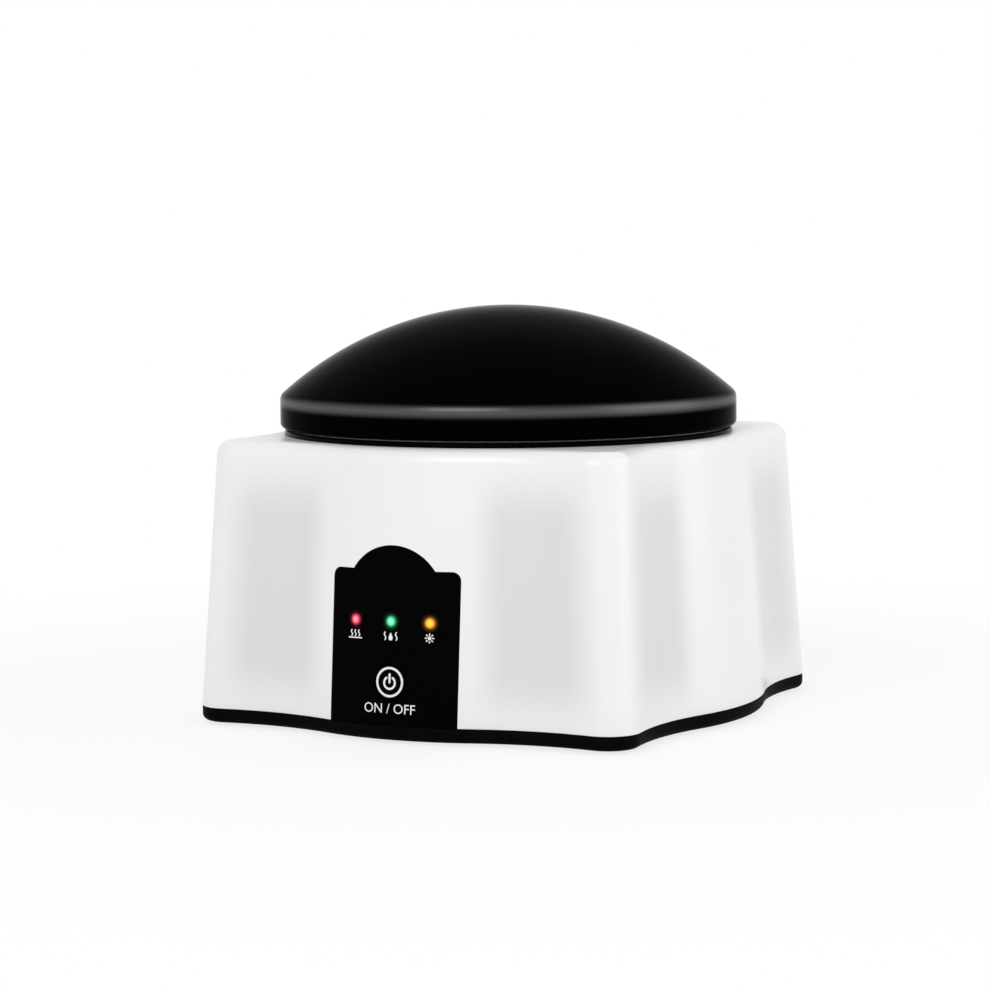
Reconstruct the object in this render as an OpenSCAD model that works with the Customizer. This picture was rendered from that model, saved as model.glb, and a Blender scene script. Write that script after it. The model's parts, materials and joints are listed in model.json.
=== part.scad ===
// Gel polish remover machine: a steam pot in a lobed white housing, with a finger deck and a lift-off lid.
// Millimetres. +Z is up, the control panel faces -Y, and the origin is on the table under the centre.

/* [Body] */
// Width across the bulging sides, the same front to back and side to side
body_w = 180.4; // [172:0.1:192]
// Height of the flat top above the table
body_top = 97.4; // [92:0.1:108]
// Radius of the bulge on each side
bulge_r = 85.4; // [80:0.1:90]
// How far the centres of the corner lobes lie in from the widest point
corner_in = 19.2; // [17:0.1:21]
// Radius of the corner lobes at the bottom of the shell
corner_r = 10.9; // [9.5:0.1:13]
// Radius of the hollow blend between a bulge and a corner lobe
valley_r = 87.2; // [70:0.1:110]
// Inward lean of the side walls, in degrees
draft = 4.32; // [3:0.01:5.5]
// Radius of the shoulder between the side walls and the top
shoulder_r = 5; // [4:0.1:6.5]
// Wall thickness of the white shell
wall = 2.4; // [1.8:0.1:3]

/* [Base] */
// Height of the black band of the base under the shell
band_h = 5; // [4.2:0.1:7]
// Radius of the rounded bottom edge of the base
base_edge_r = 2.3; // [1:0.1:3.5]
// Thickness of the base floor
floor_t = 2.4; // [1.8:0.1:3]
// Height of the lip that stands up inside the shell
lip_h = 4; // [2:0.1:5]
// Thickness of that lip
lip_t = 1.4; // [1:0.1:2]
// Thickness of the pads that the shell's screw posts stand on
pad_h = 3; // [2:0.1:4]
// Distance of the screw posts from each centre line
post_in = 58; // [56:0.1:61]
// Diameter of the screw posts
post_d = 8; // [7:0.1:10]
// Floor left over the heads of the base screws
seat_t = 2.2; // [1.6:0.1:3]
// Diameter of the rubber feet
foot_d = 13; // [10:0.1:14]
// Thickness of the rubber feet
foot_t = 2; // [1.6:0.1:3]
// How far the feet lie in from the corner lobes' centres
foot_inset = 3.5; // [2:0.1:5]
// How far the feet stand out of the base
foot_proud = 1; // [0.5:0.1:1.5]
// Length of the air slots in the base floor
slot_l = 26; // [16:0.1:34]
// Width of the air slots
slot_w = 3; // [2:0.1:3.5]
// Number of air slots in a row
slot_count = 7; // [3:1:9]
// Distance between neighbouring air slots
slot_pitch = 7; // [5:0.1:9]

/* [Lid] */
// Diameter of the lid across its rim
lid_d = 160; // [152:0.1:168]
// Height of the lid's upright rim
rim_h = 11.2; // [9:0.1:14]
// Rise of the dome above the rim
dome_h = 30.9; // [24:0.1:40]
// Wall thickness of the lid
lid_wall = 2.2; // [1.6:0.1:3]
// Radius of the shoulder between rim and dome
lid_shoulder_r = 3.5; // [1:0.1:5]
// Radius of the rim's rounded bottom edge
lid_edge_r = 1.8; // [0.5:0.1:2]
// Open gap between the collar and the lid's rim
lid_gap = 0.5; // [0.3:0.1:1]
// Air gap between the dome and the liner inside it
liner_gap = 3; // [1:0.1:5]
// Wall thickness of the liner
liner_t = 1.6; // [1.2:0.1:2.2]
// Thickness of the soft ring that the lid stands on
lid_seal_t = 1.5; // [1:0.1:2]

/* [Well] */
// Thickness of the black collar on top of the body
collar_t = 1.7; // [1.2:0.1:2.5]
// Radius of the collar's rounded upper edge
collar_edge_r = 1; // [0.4:0.1:1.2]
// How far the collar lies in from the lid's rim
collar_in = 1.4; // [0.5:0.1:3]
// Height of the collar's upright ring that the lid fits round
ring_h = 3.5; // [2:0.1:5]
// Thickness of that ring
ring_t = 1.6; // [1.2:0.1:2.2]
// Thickness of the body top round the well
well_t = 5; // [4.4:0.1:7]
// Diameter of the screw bosses under the collar
collar_boss_d = 6.4; // [5.4:0.1:7]
// Width of the pot's flange
pot_flange_w = 7.5; // [5:0.1:9]
// Thickness of the pot's flange
pot_flange_t = 1.2; // [1:0.1:1.6]
// Thickness of the gasket under the pot's flange
gasket_t = 1; // [0.6:0.1:1.4]
// Wall thickness of the pot
pot_wall = 1.5; // [1:0.1:2.2]
// Depth of the pot below the body top
pot_depth = 46; // [38:0.1:50]
// Radius between the pot's wall and its floor
pot_fillet_r = 8; // [4:0.1:12]

/* [Finger deck] */
// Thickness of the deck
deck_t = 2.5; // [1.8:0.1:3.5]
// Depth of the ring under the deck that sits in the pot
deck_ring_h = 8; // [4:0.1:12]
// Thickness of that ring
deck_ring_t = 1.5; // [1:0.1:2]
// Bore of the five finger cups
cup_d = 21.6; // [18:0.1:22.4]
// Wall thickness of the finger cups
cup_wall = 1.5; // [1:0.1:1.8]
// Depth of the finger cups below the deck
cup_depth = 15.5; // [8:0.1:20]
// Height of the cups' rims above the deck
cup_rim_h = 1.4; // [0.8:0.1:2]
// Angle between neighbouring finger cups, in degrees
finger_step = 39; // [38:0.5:42]
// Thickness of the soft sleeves in the finger cups
sleeve_t = 1.2; // [0.8:0.1:1.6]
// Depth of those sleeves
sleeve_h = 9; // [5:0.1:12]
// Height of the two grips for lifting the deck out
grip_h = 5; // [3:0.1:7]
// Length of the grips
grip_l = 22; // [14:0.1:28]
// Thickness of the grips
grip_t = 2.4; // [1.8:0.1:3]

/* [Control panel] */
// Width of the control panel
panel_w = 47.4; // [44:0.1:52]
// Height of the panel's shoulders above the table
panel_shoulder_z = 57.2; // [55:0.1:62]
// Height of the top of the panel's arch above the table
panel_top_z = 65.4; // [63:0.1:70]
// Width of the arch where it meets the shoulders
arch_w = 30.4; // [24:0.1:34]
// Radius of the panel's shoulder corners
panel_corner_r = 3; // [1:0.1:5]
// Width of the hidden flange behind the shell
flange_w = 2; // [1:0.1:3]
// Thickness of that flange
flange_t = 1.2; // [1:0.1:2]
// Height of the three lamps above the table
lamp_z = 40.5; // [38:0.1:43]
// Distance between neighbouring lamps
lamp_pitch = 13.9; // [11:0.1:15]
// Diameter of the lamp windows
window_d = 4; // [3:0.1:4.6]
// Side of the lamp chips behind the windows
chip_w = 2.4; // [1.6:0.1:2.6]
// Thickness of the lamp chips
chip_t = 0.9; // [0.6:0.1:1.2]
// Thickness of the windows' hidden flange
window_flange_t = 0.8; // [0.6:0.1:1.2]
// Height of the power button above the table
button_z = 20.5; // [19.5:0.1:23]
// Diameter of the power button
button_d = 11.6; // [10:0.1:13]
// Travel of the power button
button_travel = 0.8; // [0.4:0.1:1]
// Thickness of the button's retaining flange
button_flange_t = 0.8; // [0.6:0.1:1.2]

/* [Control board] */
// Width of the control board
board_w = 42; // [40:0.1:44]
// Height of the control board
board_h = 43; // [41:0.1:45]
// Thickness of the control board
board_t = 1.6; // [1:0.1:2]
// Distance of the board screws from the board's edges
board_screw_in = 4; // [3.4:0.1:4.6]
// Diameter of the panel posts that carry the board
board_post_d = 5.6; // [5:0.1:6.4]
// Side of the tact switch
switch_w = 6; // [5:0.1:7]
// Height of the tact switch
switch_h = 3.4; // [3:0.1:4.5]
// How far the switch's plunger stands out
plunger_out = 1.2; // [1.1:0.1:1.6]
// Diameter of the switch's plunger
plunger_d = 3; // [2.4:0.1:3.4]
// Length of the relay across the board
relay_l = 19; // [15:0.1:20]
// Height of the relay up the board
relay_w = 15.5; // [12:0.1:16]
// How far the relay stands out of the board
relay_h = 15; // [12:0.1:16]
// Diameter of the two capacitors
cap_d = 8; // [6:0.1:9]
// Height of the two capacitors
cap_h = 11.5; // [8:0.1:13]
// Distance between the two capacitors
cap_pitch = 12; // [10:0.1:13]
// Length of the lead sockets across the board
socket_l = 10; // [8:0.1:12]
// Height of the lead sockets up the board
socket_w = 5.8; // [5:0.1:6.4]
// How far the lead sockets stand out of the board
socket_h = 7; // [6:0.1:9]

/* [Heater] */
// Radius of the heater plate
heater_r = 40; // [36:0.1:43]
// Thickness of the heater plate
heater_t = 6; // [4:0.1:8]
// Diameter of the pot's cast posts
pot_post_d = 7; // [6:0.1:8]
// Thickness of the clamp ring under the heater
clamp_t = 1.5; // [1:0.1:2]
// How far the clamp ring reaches under the heater
clamp_lap = 4; // [2:0.1:6]
// Diameter of the thermostat
thermostat_d = 16; // [14:0.1:18]
// Height of the thermostat's body
thermostat_h = 9; // [7:0.1:10]
// Length of the thermostat's two terminals
terminal_l = 6; // [4:0.1:6.5]
// Distance between the thermostat's two screws
thermostat_pitch = 24; // [23:0.1:26]
// Diameter of the thermal fuse
fuse_d = 4; // [3:0.1:5]
// Length of the thermal fuse
fuse_l = 11; // [9:0.1:14]
// Thickness of the strap between the fuse and the heater
fuse_strap = 0.6; // [0.4:0.1:1]
// Height of the heat shield above the table
shield_z = 26; // [20:0.1:27]
// Radius of the hole in the middle of the heat shield
shield_hole_r = 14; // [12:0.1:24]
// Radius of the heat shield
shield_r = 54; // [50:0.1:56]
// Thickness of the heat shield
shield_t = 0.8; // [0.5:0.1:1.2]
// Distance of the shield's posts from the centre
shield_post_r = 47; // [44:0.1:49]
// Diameter of the shield's posts
shield_post_d = 8; // [6:0.1:9]

/* [Power inlet] */
// Height of the inlet's axis above the table
inlet_z = 18; // [17.4:0.1:22]
// Diameter of the recess that takes the plug's head
recess_d = 11; // [10:0.1:12]
// Depth of that recess
recess_depth = 6; // [4:0.1:7]
// Wall round the recess
recess_wall = 1; // [0.8:0.1:1.4]
// Width of the frame round the inlet
inlet_frame = 1.2; // [1:0.1:2]
// Bore for the plug's barrel
barrel_d = 6; // [5.5:0.1:6.5]
// Depth of that bore behind the recess
barrel_depth = 9; // [7:0.1:10]
// Diameter of the centre pin
pin_d = 2; // [1.6:0.1:2.5]
// Closed end behind the barrel bore
inlet_back_t = 1.5; // [1:0.1:2]

/* [Fasteners] */
// Shank diameter of the large screws
screw_d = 3; // [2.6:0.1:3.4]
// Head diameter of the large screws
screw_head_d = 6; // [5:0.1:6.4]
// Head height of the large screws
screw_head_h = 2; // [1.6:0.1:2.4]
// Length of the base screws' shanks
base_screw_l = 14; // [10:0.1:20]
// Shank diameter of the small screws
small_screw_d = 2; // [1.6:0.1:2.4]
// Head diameter of the small screws
small_head_d = 3.8; // [3.2:0.1:4.4]
// Head height of the small screws
small_head_h = 1.3; // [1:0.1:1.6]
// Length of the small screws' shanks
small_screw_l = 5; // [4:0.1:6]

// Head diameter of the collar screws
collar_head_d = 9; // [8:0.1:10]
// Head height of the collar screws
collar_head_h = 1.5; // [1:0.1:2]

/* [Clearances] */
// Gap between fixed moulded parts
part_gap = 0.15; // [0.1:0.01:0.3]
// Gap behind a curved wall
curve_gap = 0.3; // [0.2:0.01:0.5]
// Gap round a part that slides or lifts out
slide_gap = 0.3; // [0.2:0.01:0.6]
// Gap between the lid's skirt and the collar's ring
lid_clear = 0.5; // [0.3:0.01:1]
// Gap round a screw's shank
screw_gap = 0.05; // [0.03:0.01:0.15]

/* [Hidden] */
$fn = 64;
// Flats on a drawn arc, and on the rounded edges of body and base.
arc_steps = 6;
shoulder_steps = 4;
// How far a cut runs past the face that it opens, and the room beyond a screw's tip.
over = 1;
tip_room = 1;
// How far the inlet pin's tip lies behind the recess.
pin_back = 1;
half_w = body_w / 2;
base_z = foot_proud;
seam_z = base_z + band_h;
floor_z = base_z + floor_t;
lip_z = seam_z + lip_h;
post_z = floor_z + pad_h;
shoulder_z = body_top - shoulder_r;

lid_r = lid_d / 2;
lid_in = lid_r - lid_wall;
collar_z = body_top + collar_t;
collar_r = lid_r - collar_in;
lid_z = collar_z + lid_gap;
lid_rim_z = lid_z + rim_h;
lid_top = lid_rim_z + dome_h;
dome_r = (lid_r * lid_r + dome_h * dome_h) / (2 * dome_h);
dome_z = lid_top - dome_r;
skirt_r = lid_in - part_gap;
skirt_in = skirt_r - liner_t;
liner_r = dome_r - lid_wall - liner_gap;
skirt_z = collar_z + lid_seal_t;

ring_r = skirt_in - lid_clear;
ring_in = ring_r - ring_t;
ring_z = collar_z + ring_h;
boss_gap = part_gap;
collar_screw_r = ring_in - collar_boss_d / 2 - ring_t / 2;
boss_hole_r = collar_boss_d / 2 + boss_gap;
recess_r = collar_screw_r - boss_hole_r - wall / 2;
pot_flange_r = recess_r - slide_gap;
pot_r = pot_flange_r - pot_flange_w;
pot_in = pot_r - pot_wall;
well_r = pot_r + slide_gap;
well_ring_r = collar_screw_r + boss_hole_r + wall;
well_z = body_top - well_t;
pot_flange_z = body_top - pot_flange_t;
gasket_z = pot_flange_z - gasket_t;
pot_floor_z = body_top - pot_depth;
pot_under_z = pot_floor_z - pot_wall;

deck_r = ring_in - slide_gap;
deck_z = collar_z;
deck_top = deck_z + deck_t;
deck_ring_r = pot_in - slide_gap;
cup_r = cup_d / 2;
cup_out = cup_r + cup_wall;
cup_top = deck_top + cup_rim_h;
cup_low = deck_z - cup_depth;
finger_arc_r = deck_ring_r - deck_ring_t - cup_out - cup_wall / 2;
finger_angles = [for (i = [-2:2]) 90 + i * finger_step];
grip_angles = [-125, -55];
cup_rim_r = finger_arc_r * sin(finger_step / 2) - slide_gap;
grip_r = deck_r - grip_t * 2;

heater_z = pot_under_z - heater_t;
pot_post_r = heater_r + pot_post_d / 2 + curve_gap;
clamp_z = heater_z - clamp_t;
clamp_r = pot_post_r + pot_post_d / 2;

board_z = lip_z + curve_gap;
arch_r = (arch_w * arch_w / 4 + pow(panel_top_z - panel_shoulder_z, 2))
    / (2 * (panel_top_z - panel_shoulder_z));
window_pad_r = window_d / 2 + 2 * part_gap + window_flange_t;
rib_depth = wall + curve_gap + flange_t;
pad_depth = wall + sag(lamp_pitch + window_pad_r) + window_flange_t / 4;
button_pad_r = button_d / 2 + slide_gap + flange_t;
stem_l = window_flange_t / 2;
switch_depth = pad_depth + button_flange_t + stem_l + plunger_out;
board_depth = switch_depth + switch_h;
board_back = board_depth + board_t;
inlet_r = recess_d / 2 + recess_wall;
inlet_frame_r = inlet_r + inlet_frame;
inlet_l = recess_depth + barrel_depth + inlet_back_t;
pin_tail = inlet_back_t;
foot_in = half_w - corner_in - foot_inset;
head_seat_z = post_z - seat_t;
slot_row = (shield_post_r - slot_l) / 2 + slot_l / 4;
collar_boss_z = well_z + screw_gap + part_gap;
socket_up = cap_d / 2 + part_gap;
terminal_z = heater_z - thermostat_h - terminal_l;

// How far a side wall has leaned in at a height, and how far the bulge falls back beside its crest.
function lean(z) = (z - seam_z) * tan(draft);
function sag(x) = bulge_r - sqrt(bulge_r * bulge_r - x * x);
// Distance up the sloping panel for a height above the table.
function up_slope(z) = (z - seam_z) / cos(draft);

// Points on an arc round c.
function arc(c, r, from, to, steps) =
    [for (i = [0:steps]) let (a = from + (to - from) * i / steps) c + r * [cos(a), sin(a)]];
function reversed(list) = [for (i = [len(list) - 1:-1:0]) list[i]];
function tail(list) = [for (i = [1:len(list) - 1]) list[i]];
function turned(points, a) =
    [for (p = points) [p[0] * cos(a) - p[1] * sin(a), p[0] * sin(a) + p[1] * cos(a)]];

// The body's plan outline, leaning in by d and then set in by o: a bulge arc, a hollow arc and a
// corner arc that touch without a kink, mirrored and repeated for the four sides.
function outline(d, o) =
    let (
        bulge = [half_w - bulge_r, 0],
        corner = (half_w - corner_in - d / sqrt(2)) * [1, 1],
        rb = bulge_r - d - o,
        rc = corner_r - o,
        rv = valley_r + d + o,
        span = norm(corner - bulge),
        along = (pow(rb + rv, 2) - pow(rc + rv, 2) + span * span) / (2 * span),
        out = sqrt(pow(rb + rv, 2) - along * along),
        u = (corner - bulge) / span,
        valley = bulge + along * u + out * [u[1], -u[0]],
        a1 = atan2(valley[1] - bulge[1], valley[0] - bulge[0]),
        a2 = atan2(valley[1] - corner[1], valley[0] - corner[0]),
        eighth = concat(
            arc(bulge, rb, 0, a1, arc_steps),
            tail(arc(valley, rv, a1 + 180, a2 + 180, arc_steps)),
            tail(arc(corner, rc, a2, 45, arc_steps))),
        n = len(eighth),
        quarter = concat(eighth, [for (i = [n - 2:-1:1]) [eighth[i][1], eighth[i][0]]])
    )
    [for (k = [0:3]) each turned(quarter, 90 * k)];
function ring(z, d, o) = [for (p = outline(d, o)) [p[0], p[1], z]];

// The rings of the shell's surface, set in by skin, from z up over the shoulder to the flat top.
function body_rings(z, skin) =
    let (tangent_z = shoulder_z + shoulder_r * sin(draft), d = lean(tangent_z), r = shoulder_r - skin)
    concat(
        [ring(z, lean(z), skin)],
        [for (i = [0:shoulder_steps])
            let (a = draft + (90 - draft) * i / shoulder_steps)
            ring(shoulder_z + r * sin(a), d, skin + r * (cos(draft) - cos(a)))]);

// A closed solid through rings of equally many points round the Z axis, with a flat cap at each end.
module loft(rings) {
    n = len(rings[0]);
    last = len(rings) - 1;
    low = n * len(rings);
    sides = [for (k = [0:last - 1], i = [0:n - 1])
        let (a = k * n + i, b = k * n + (i + 1) % n)
        each [[a, a + n, b + n], [a, b + n, b]]];
    caps = [for (i = [0:n - 1]) let (j = (i + 1) % n)
        each [[i, j, low], [last * n + j, last * n + i, low + 1]]];
    polyhedron(
        concat([for (r = rings) each r], [[0, 0, rings[0][0][2]], [0, 0, rings[last][0][2]]]),
        concat(sides, caps));
}

// The solid under the front bulge's surface, set in by o: an exact cone.
module front_bulge(o, low, high) {
    translate([0, bulge_r - half_w, low])
        cylinder(r1 = bulge_r - lean(low) - o, r2 = bulge_r - lean(high) - o, h = high - low, $fn = 240);
}
// Work on the front wall: the child's +Y points straight in through the panel.
module at_front(z) {
    translate([0, lean(z) - half_w, z]) rotate([-draft, 0, 0]) children();
}
// A cylinder that runs in through the panel from one depth to another.
module pin_in(d, from, to) {
    translate([0, from, 0]) rotate([-90, 0, 0]) cylinder(d = d, h = to - from);
}
module tube(r, r_in, low, high) {
    difference() {
        translate([0, 0, low]) cylinder(r = r, h = high - low);
        translate([0, 0, low - over]) cylinder(r = r_in, h = high - low + 2 * over);
    }
}
module four(r) {
    for (a = [45:90:315]) rotate([0, 0, a]) translate([r, 0, 0]) children();
}
module at_corners(c) {
    for (x = [-c, c], y = [-c, c]) translate([x, y, 0]) children();
}
// A screw that stands on its head: the head's top is at z = 0 and the shank points up.
module screw(d, head_d, head_h, length) {
    cylinder(d = head_d, h = head_h);
    translate([0, 0, head_h / 2]) cylinder(d = d, h = head_h / 2 + length);
}
module big_screw(length) {
    screw(screw_d, screw_head_d, screw_head_h, length);
}
module small_screw(length) {
    screw(small_screw_d, small_head_d, small_head_h, length);
}

// The panel's face, seen from the front, grown by g all round.
module panel_face(g, low) {
    half = panel_w / 2 + g;
    r = panel_corner_r;
    top = panel_shoulder_z + g;
    translate([-half, low]) square([2 * half, top - r - low]);
    translate([r - half, low]) square([2 * (half - r), top - low]);
    for (x = [r - half, half - r]) translate([x, top - r]) circle(r = r);
    translate([0, panel_top_z - arch_r]) circle(r = arch_r + g);
}
module panel_prism(g, low) {
    translate([0, -half_w / 2, 0]) rotate([90, 0, 0]) linear_extrude(half_w) panel_face(g, low);
}

module body_shell() {
    color("#f2f2f0") difference() {
        union() {
            loft(concat(reversed(body_rings(seam_z, wall)), body_rings(seam_z, 0)));
            translate([0, 0, well_z]) cylinder(r = well_ring_r, h = well_t - wall / 2);
            at_corners(post_in) translate([0, 0, post_z])
                cylinder(d = post_d, h = body_top - wall / 2 - post_z);
        }
        translate([0, 0, well_z - over]) cylinder(r = well_r, h = well_t + 2 * over);
        translate([0, 0, gasket_z]) cylinder(r = recess_r, h = well_t);
        four(collar_screw_r) translate([0, 0, well_z - over])
            cylinder(r = boss_hole_r, h = well_t + 2 * over);
        at_corners(post_in) translate([0, 0, post_z - over])
            cylinder(d = screw_d + 2 * screw_gap, h = base_screw_l + 2 * over);
        panel_prism(part_gap, seam_z - band_h);
        inlet_notch(inlet_frame_r + part_gap, seam_z - band_h);
    }
}
// The U-shaped notch for the power inlet, through the rear wall.
module inlet_notch(r, low) {
    translate([0, half_w + wall, 0]) rotate([90, 0, 0]) linear_extrude(half_w / 2) {
        translate([0, inlet_z]) circle(r = r);
        translate([-r, low]) square([2 * r, inlet_z - low]);
    }
}

module base_tray() {
    lip_o = wall + curve_gap;
    lip_in = lip_o + lip_t;
    color("#141414") difference() {
        union() {
            loft(concat(
                [for (i = [0:shoulder_steps]) let (a = 90 * i / shoulder_steps)
                    ring(base_z + base_edge_r * (1 - cos(a)), 0, base_edge_r * (1 - sin(a)))],
                [ring(seam_z, 0, 0), ring(seam_z, 0, lip_o), ring(lip_z, lean(lip_z), lip_o),
                    ring(lip_z, lean(lip_z), lip_in), ring(seam_z, 0, lip_in), ring(floor_z, 0, lip_in)]));
            at_corners(post_in) translate([0, 0, base_z + floor_t / 2])
                cylinder(d = post_d + 2 * floor_t, h = post_z - base_z - floor_t / 2);
            four(shield_post_r) translate([0, 0, base_z + floor_t / 2])
                cylinder(d = shield_post_d, h = shield_z - base_z - floor_t / 2);
        }
        at_corners(post_in) {
            translate([0, 0, base_z - over]) cylinder(d = screw_d + 2 * part_gap, h = post_z);
            translate([0, 0, base_z - over])
                cylinder(d = screw_head_d + 2 * slide_gap, h = head_seat_z - base_z + over);
        }
        at_corners(foot_in) translate([0, 0, base_z - over])
            cylinder(d = foot_d + 2 * part_gap, h = 1 + foot_t - foot_proud);
        four(shield_post_r) translate([0, 0, shield_z - small_screw_l - tip_room])
            cylinder(d = small_screw_d + 2 * screw_gap, h = small_screw_l + tip_room + over);
        for (side = [-1, 1], i = [0:slot_count - 1])
            translate([side * slot_row, (i - (slot_count - 1) / 2) * slot_pitch, base_z - over]) air_slot();
    }
}
module air_slot() {
    straight = slot_l - slot_w;
    translate([-straight / 2, -slot_w / 2, 0]) cube([straight, slot_w, floor_t + 2 * over]);
    for (x = [-straight / 2, straight / 2]) translate([x, 0, 0])
        cylinder(d = slot_w, h = floor_t + 2 * over);
}
module rubber_feet() {
    color("#2b2b2b") at_corners(foot_in) cylinder(d = foot_d, h = foot_t);
}
module base_screws() {
    color("silver") at_corners(post_in) translate([0, 0, head_seat_z - screw_head_h])
        big_screw(base_screw_l + post_z - head_seat_z - tip_room);
}

module control_panel() {
    color("#0b0b0b") difference() {
        union() {
            intersection() {
                front_wall(0, wall);
                panel_prism(0, seam_z + part_gap);
            }
            intersection() {
                front_wall(wall / 2, rib_depth);
                difference() {
                    panel_prism(0, lip_z + curve_gap);
                    panel_prism(-flange_w, seam_z - over);
                }
            }
            intersection() {
                front_wall(wall + curve_gap, rib_depth);
                difference() {
                    panel_prism(flange_w, lip_z + curve_gap);
                    panel_prism(-flange_w, seam_z - over);
                }
            }
            intersection() {
                front_bulge(wall / 2, seam_z, body_top);
                union() {
                    at_lamps() pin_in(2 * window_pad_r, 0, pad_depth);
                    at_front(button_z) pin_in(2 * button_pad_r, 0, pad_depth);
                    at_board_screws() pin_in(board_post_d, 0, board_depth);
                }
            }
        }
        at_lamps() pin_in(window_d + 2 * part_gap, -wall, pad_depth + over);
        at_front(button_z) pin_in(button_d + 2 * slide_gap, -wall, pad_depth + over);
        at_board_screws()
            pin_in(small_screw_d + 2 * screw_gap, board_depth - small_screw_l - tip_room,
                board_depth + over);
    }
}
// The part of the front bulge between two depths.
module front_wall(from, to) {
    difference() {
        front_bulge(from, seam_z, body_top);
        front_bulge(to, seam_z - over, body_top + over);
    }
}
module at_lamps() {
    for (x = [-lamp_pitch, 0, lamp_pitch]) at_lamp(x) children();
}
module at_lamp(x) {
    at_front(lamp_z) translate([x, 0, 0]) children();
}
// The child stands where the board's four screws go, with the board's plane square to +Y.
module at_board_screws() {
    for (x = [-1, 1], z = [0, 1])
        at_front(seam_z) translate([
            x * (board_w / 2 - board_screw_in), 0,
            up_slope(board_z) + board_screw_in + z * (board_h - 2 * board_screw_in)]) children();
}

// The button's cap follows the panel's curve, with a flange behind the panel and a stem for the switch.
module power_button() {
    color("#101010") {
        intersection() {
            front_bulge(0, seam_z, body_top);
            at_front(button_z) pin_in(button_d, -wall, pad_depth + button_flange_t / 2);
        }
        at_front(button_z) {
            pin_in(2 * button_pad_r - flange_t, pad_depth, pad_depth + button_flange_t);
            pin_in(plunger_d + flange_t, pad_depth, pad_depth + button_flange_t + stem_l);
        }
    }
}
module switch_plunger() {
    color("#303030") at_front(button_z)
        pin_in(plunger_d, switch_depth - plunger_out, switch_depth + switch_h / 2);
}
module tact_switch() {
    color("#1c1c1c") at_front(button_z) difference() {
        translate([-switch_w / 2, switch_depth, -switch_w / 2]) cube([switch_w, switch_h, switch_w]);
        pin_in(plunger_d + 2 * part_gap, switch_depth - over,
            switch_depth + switch_h / 2 + button_travel + part_gap);
    }
}

// A window's face follows the panel's curve, and its flange lies flat behind the panel.
module lamp_window(x) {
    intersection() {
        front_bulge(0, seam_z, body_top);
        at_lamp(x) pin_in(window_d, -wall, pad_depth + window_flange_t / 2);
    }
    at_lamp(x) pin_in(2 * window_pad_r - window_flange_t, pad_depth, pad_depth + window_flange_t);
}
module heat_window() {
    color("#ff3040") lamp_window(-lamp_pitch);
}
module steam_window() {
    color("#30e080") lamp_window(0);
}
module warm_window() {
    color("#ffb020") lamp_window(lamp_pitch);
}
// A block between the windows and the board, with a tube for each lamp so that no light leaks across.
module light_baffle() {
    w = 2 * (lamp_pitch + window_pad_r);
    h = 2 * window_pad_r;
    low = pad_depth + window_flange_t;
    color("#202020") difference() {
        at_front(lamp_z) translate([-w / 2, low, -h / 2]) cube([w, board_depth - low, h]);
        at_lamps() pin_in(window_d, low - over, board_depth + over);
    }
}
module lamp_chips() {
    color("#f0f0e0") at_lamps()
        translate([-chip_w / 2, board_depth - chip_t, -chip_w / 2]) cube([chip_w, chip_t, chip_w]);
}

module control_board() {
    color("#1e6b3a") difference() {
        at_front(seam_z) translate([-board_w / 2, board_depth, up_slope(board_z)])
            cube([board_w, board_t, board_h]);
        at_board_screws() pin_in(small_screw_d + 2 * part_gap, board_depth - over, board_back + over);
    }
}
module board_screws() {
    color("silver") at_board_screws() translate([0, board_back + small_head_h, 0])
        rotate([90, 0, 0]) small_screw(small_screw_l);
}
module power_relay() {
    color("#1f4fa0") at_front(seam_z)
        translate([-relay_l / 2, board_back, up_slope(lamp_z) - relay_w / 2])
            cube([relay_l, relay_h, relay_w]);
}
module capacitors() {
    color("#303a6a") for (x = [-1, 1])
        at_front(button_z) translate([x * cap_pitch / 2, 0, 0])
            pin_in(cap_d, board_back, board_back + cap_h);
}
module lead_sockets() {
    color("#f0ead8") for (x = [-1, 1])
        at_front(button_z) translate([x * (board_w - socket_l) / 2 - socket_l / 2, board_back, socket_up])
            cube([socket_l, socket_h, socket_w]);
}

module power_inlet() {
    color("#181818") difference() {
        union() {
            intersection() {
                rear_wall(0, wall);
                inlet_prism(inlet_frame_r, seam_z + part_gap);
            }
            intersection() {
                rear_wall(0, inlet_l);
                inlet_axis(inlet_l) cylinder(r = inlet_r, h = half_w);
            }
            intersection() {
                rear_wall(wall + curve_gap, rib_depth);
                inlet_prism(inlet_frame_r + flange_w, lip_z + curve_gap);
            }
        }
        inlet_axis(recess_depth) cylinder(d = recess_d, h = half_w);
        inlet_axis(recess_depth + barrel_depth) cylinder(d = barrel_d, h = half_w);
        inlet_axis(inlet_l + over) cylinder(d = pin_d + 2 * screw_gap, h = half_w);
    }
}
module inlet_pin() {
    color("gold") inlet_axis(inlet_l + pin_tail)
        cylinder(d = pin_d, h = inlet_l + pin_tail - recess_depth - pin_back);
}
// Work along the inlet: the child starts at a depth behind the rear wall's face and points out.
module inlet_axis(depth) {
    translate([0, half_w - lean(inlet_z) - depth, inlet_z]) rotate([-90, 0, 0]) children();
}
module rear_wall(from, to) {
    rotate([0, 0, 180]) front_wall(from, to);
}
module inlet_prism(r, low) {
    intersection() {
        inlet_notch(r, low);
        translate([-half_w, 0, low]) cube([body_w, body_w, body_w]);
    }
}

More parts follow.
